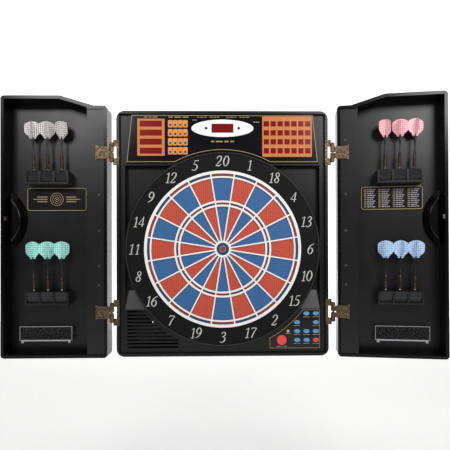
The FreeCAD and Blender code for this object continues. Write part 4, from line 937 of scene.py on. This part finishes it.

# %% [markdown]
# The dart holders have a shaped front: under a plain rail each bay leans in to a shadow above
# a lip, with a tapering ridge between the bays. The facets below the rail take the black nylon
# finish, painted shade for that shadow. The front is drawn facet by facet, then its outline
# is pushed back and capped to close it.

# %% Holder fronts
holder_low, holder_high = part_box("left_dart_holders")
holder_front, holder_middle, _, holder_width, _ = seen("left_dart_holders")
HOLDER_HEIGHT = 33 * MM
BAY = 35 * MM
SCOOP_BACK = 7 * MM
# Height, half the ridge between two bays, and set-back of the scoop, from the rail to the lip.
SCOOP_ROWS = ((33, 4.0, 0.8), (17, 3.0, 2.2), (6, 1.6, 6.0), (5, 1.6, 0))
FACET = 1 * MM


def quad(bm, *corners):
    """A four-sided face from (x in metres, height and set-back in millimetres)."""
    return bm.faces.new([bm.verts.new((x, height * MM, -back * MM)) for x, height, back in corners])


def holder_face(bm):
    """The shaped front of one holder; z is zero on its front plane and falls towards the door."""
    half = holder_width / 2
    for bay in (-1, 0, 1):
        middle = bay * BAY
        left_end = -half if bay == -1 else middle - BAY / 2
        right_end = half if bay == 1 else middle + BAY / 2
        for (high, wide_high, in_high), (low, wide_low, in_low) in zip(SCOOP_ROWS, SCOOP_ROWS[1:]):
            for side, end in ((-1, left_end), (1, right_end)):
                at_high = middle + side * (BAY / 2 - wide_high * MM)
                at_low = middle + side * (BAY / 2 - wide_low * MM)
                rim_high = at_high + side * FACET
                rim_low = at_low + side * FACET
                quad(bm, (rim_high, high, 0), (end, high, 0), (end, low, 0), (rim_low, low, 0))
                quad(bm, (at_high, high, in_high), (rim_high, high, 0), (rim_low, low, 0),
                     (at_low, low, in_low))
            inner_high = BAY / 2 - wide_high * MM
            inner_low = BAY / 2 - wide_low * MM
            scoop = quad(bm, (middle - inner_high, high, in_high), (middle + inner_high, high, in_high),
                         (middle + inner_low, low, in_low), (middle - inner_low, low, in_low))
            # Scoops below the rail take the second finish, the dark nylon: painted shade inside the bay.
            scoop.material_index = 1 if high < 33 else 0
        stops = (left_end, middle - BAY / 2 + 0.6 * MM, middle - BAY / 2 + 1.6 * MM,
                 middle + BAY / 2 - 1.6 * MM, middle + BAY / 2 - 0.6 * MM, right_end)
        for start, end in zip(stops, stops[1:]):
            quad(bm, (start, 5, 0), (end, 5, 0), (end, 0, 0), (start, 0, 0))


def close_back(bm, depth):
    """Pushes the outline of an open surface back to a plane and caps it."""
    bmesh.ops.remove_doubles(bm, verts=bm.verts, dist=1e-6)
    rim = [edge for edge in bm.edges if edge.is_boundary]
    pushed = bmesh.ops.extrude_edge_only(bm, edges=rim)["geom"]
    for part in pushed:
        if isinstance(part, bmesh.types.BMVert):
            part.co.z = -depth
    loop = [part for part in pushed if isinstance(part, bmesh.types.BMEdge)]
    bmesh.ops.edgeloop_fill(bm, edges=loop)


for side, sign in MIRROR.items():
    bm = bmesh.new()
    for base in (holder_high.z - HOLDER_HEIGHT, holder_low.z):
        one = bmesh.new()
        holder_face(one)
        close_back(one, SCOOP_BACK)
        spread(one, on_door(side, sign * holder_middle, holder_front - 0.2 * MM, base))
        drawn = bpy.data.meshes.new("holder")
        one.to_mesh(drawn)
        one.free()
        bm.from_mesh(drawn)
    piece(side + "_holder_fronts", bm, side + "_door", "holder_plastic", holder_abs_painted_light, nylon_and_scoop_shade,
          smooth=10)

# %% [markdown]
# Cut acrylic is clear on its faces, and its sawn edges are frosted and gather light, so each tray
# gets pale edge strips and two small feet: the frosting is real, and the brightness of the
# gathered light is a painted highlight.

# %% Tray edges
sawn_edge_and_glint = inked("sawn_acrylic_edge_and_glint", "#8f8b90", "#b9b5ba", 0.3, 6)
tray_front, tray_middle, tray_z, tray_wide, tray_tall = seen("left_clear_tray")
for side, sign in MIRROR.items():
    bm = bmesh.new()
    rectangle(bm, 0, tray_tall - 0.8 * MM, tray_wide, 1.2 * MM)
    rectangle(bm, 0, 2.4 * MM, tray_wide - 6 * MM, 3.4 * MM, 1 * MM)
    for end in (-1, 1):
        rectangle(bm, end * (tray_wide / 2 - 0.5 * MM), tray_tall / 2, 0.9 * MM, tray_tall - 3 * MM)
        rectangle(bm, end * (tray_wide / 2 - 7 * MM), -1.6 * MM, 6 * MM, 4.6 * MM, 1.4 * MM)
    on_tray = on_door(side, sign * tray_middle, tray_front, tray_z - tray_tall / 2)
    raised(side + "_tray_edges", bm, 0.8 * MM, on_tray, side + "_door", "clear_acrylic", sawn_edge_and_glint)

# %% [markdown]
# ## Darts
# A soft-tip dart is a nylon tip, a turned and knurled brass barrel, a nylon shaft and a flight
# of four thin wings. Tip, barrel and shaft are lathe work. A wing is cut from film: its
# outline is a few points, smoothed by bevelling its corners, and it has a UV map in
# centimetres so that its printed grid follows it whichever way the flight is turned.

# %% Turned parts of a dart
TIP = 46 * MM
BARREL = 42 * MM
SHAFT = 40 * MM
# Profiles are (radius, height) in millimetres. The tip is a fine point that flares to the
# barrel; the collar is a bright ring between them; the shaft is a threaded foot, a slim neck
# and a split end that grips the flight.
TIP_PROFILE = [(0, 0), (0.5, 1.2), (0.8, 8), (1.0, 30), (1.3, 38), (2.4, 43), (2.6, 46), (0, 46)]
COLLAR_PROFILE = [(0, -0.5), (2.2, -0.5), (3.2, 0.4), (3.7, 4.2), (3.2, 5.0), (0, 5.0)]
SHAFT_PROFILE = [(0, 0), (2.6, 0), (2.6, 5), (2.0, 6.5), (1.9, 24), (2.4, 27), (2.4, 39.2), (1.8, 40),
                 (0, 40)]


def barrel_profile():
    """A barrel with a collar at each end and rings cut along the grip."""
    points = [(0, 0), (2.8, 0), (3.5, 1.0), (3.5, 3.4), (3.0, 4.0)]
    for groove in range(9):
        start = 5.5 + groove * 3.4
        points += [(3.6, start), (4.2, start + 0.6), (4.2, start + 2.2), (3.6, start + 2.8)]
    return points + [(2.9, 37.5), (3.3, 38.5), (3.3, 41), (2.5, 42), (0, 42)]


# Each turned part: its profile, its foot above the tip's point, its sides, slot and finish.
TURNED = {
    "tips": (TIP_PROFILE, 0, 12, "dart_plastic", tip_nylon),
    "barrels": (barrel_profile(), TIP, 16, "dart_brass", brass),
    "collars": (COLLAR_PROFILE, TIP, 16, "dart_brass", nickel),
    "shafts": (SHAFT_PROFILE, TIP + BARREL, 12, "dart_plastic", nylon_black),
}
print("a dart has", len(TURNED), "turned parts")

# %% Wings of a flight
WING = [(0.6, 5.5), (2.4, 5), (3.4, 0.6), (6.2, 0), (9.5, 6.5), (17.5, 14), (19.3, 19), (19.3, 34.5),
        (16.8, 39.5), (8.5, 43.5), (2.6, 44.3), (0.6, 46)]
WING_CORNER = 1.6 * MM
FILM = 0.3 * MM


def flight(bm, start, matrix):
    """Four wings of film at right angles."""
    mapped = bm.loops.layers.uv.verify()
    for quarter in range(4):
        known = set(bm.verts)
        verts = [bm.verts.new((radius * MM, 0, height * MM + start)) for radius, height in WING]
        bmesh.ops.bevel(bm, geom=[bm.faces.new(verts)] + verts, offset=WING_CORNER, segments=3,
                        profile=0.5, affect="VERTICES", material=-1)
        wing = [vert for vert in bm.verts if vert not in known]
        faces = {face for vert in wing for face in vert.link_faces}
        for face in faces:
            for loop in face.loops:
                loop[mapped].uv = (loop.vert.co.x * 100, (loop.vert.co.z - start) * 100)
        grown = bmesh.ops.extrude_face_region(bm, geom=list(faces))["geom"]
        risen = [part for part in grown if isinstance(part, bmesh.types.BMVert)]
        bmesh.ops.translate(bm, vec=(0, FILM, 0), verts=risen)
        whole = [vert for vert in bm.verts if vert not in known]
        bmesh.ops.translate(bm, vec=(0, -FILM / 2, 0), verts=whole)
        spread(bm, matrix @ Matrix.Rotation(quarter * math.pi / 2, 4, "Z"), whole)


# %% [markdown]
# The film carries a fine printed grid. A brick texture with no offset is such a grid: its
# mortar is the line. The real lines are about 4 mm apart.

# %% Flight film


def film(name, colour, light, line):
    """Printed flight film."""
    material, shader = finish(name, colour, 0.35, Sheen_Weight=0.2)
    across = add(material, "UVMap", {})
    grid = add(material, "TexBrick", {"Vector": across.outputs["UV"], "Scale": 2.0, "Mortar Size": 0.10,
                                      "Mortar Smooth": 0.2, "Brick Width": 1.0, "Row Height": 1.0,
                                      "Color1": linear(colour), "Color2": linear(light),
                                      "Mortar": linear(line)}, offset=0.0, squash=1.0)
    wire(material, grid.outputs["Color"], shader.inputs["Base Color"])
    bump = add(material, "Bump", {"Height": grid.outputs["Fac"], "Distance": 0.05 * MM, "Strength": 0.4})
    wire(material, bump.outputs["Normal"], shader.inputs["Normal"])
    return material


FLIGHT_FILMS = {
    "left_upper": film("blush_flight_film", "#e2dbda", "#efe8e7", "#231f20"),
    "left_lower": film("mint_flight_film", "#b4f6ec", "#ccfcf4", "#3a9a94"),
    "right_upper": film("pink_flight_film", "#ffc6cd", "#ffdcdf", "#cc5562"),
    "right_lower": film("sky_flight_film", "#c6e2fd", "#dceefe", "#4674b8"),
}
FLIGHT_SLOTS = {"left_upper": "flight_white", "left_lower": "flight_mint", "right_upper": "flight_pink",
                "right_lower": "flight_sky"}
print(len(FLIGHT_FILMS), "flight films")

# %% [markdown]
# Three darts hang in each holder, in line with the CAD model's. They don't stand quite
# straight: each leans a little outward and is turned by its own angle, about the mouth of
# its pocket, as darts do that someone has dropped in.

# %% Twelve darts
WING_REACH = 19.5 * MM
dart_low, dart_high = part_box("left_upper_darts")
dart_depth = -(dart_low.y + dart_high.y) / 2
dart_middle = (dart_low.x + dart_high.x) / 2
dart_pitch = (dart_high.x - dart_low.x) / 2 - WING_REACH
MOUTH = 45 * MM
lift = Matrix.Translation((0, 0, MOUTH))
LEANS = {"left": (-2.4, -1.4, -0.5), "right": (0.5, 1.4, 2.4)}
TURNS = {"left_upper": (8, 24, -30), "left_lower": (-12, 20, 38), "right_upper": (30, -14, 10),
         "right_lower": (-26, 12, -8)}

for side, sign in MIRROR.items():
    for level in ("upper", "lower"):
        holder = side + "_" + level
        body = holder + "_darts"
        foot_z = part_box(body)[0].z
        parts = {name: bmesh.new() for name in TURNED}
        wings = bmesh.new()
        for column, (lean, turn) in enumerate(zip(LEANS[side], TURNS[holder])):
            x = sign * dart_middle + (column - 1) * dart_pitch
            door = on_door(side, x, dart_depth, foot_z) @ STAND_UP.inverted()
            tilt = lift @ Matrix.Rotation(math.radians(lean), 4, "Y") @ lift.inverted()
            matrix = door @ tilt @ Matrix.Rotation(math.radians(turn), 4, "Z")
            for name, (profile, start, steps, slot, material) in TURNED.items():
                points = [(radius * MM, height * MM + start) for radius, height in profile]
                spread(parts[name], matrix, lathe(parts[name], points, steps))
            flight(wings, TIP + BARREL + SHAFT, matrix)
        made = {name: piece(holder + "_dart_" + name, parts[name], body, slot, material)
                for name, (profile, start, steps, slot, material) in TURNED.items()}
        piece(holder + "_dart_flights", wings, body, FLIGHT_SLOTS[holder], FLIGHT_FILMS[holder])
        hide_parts(body)
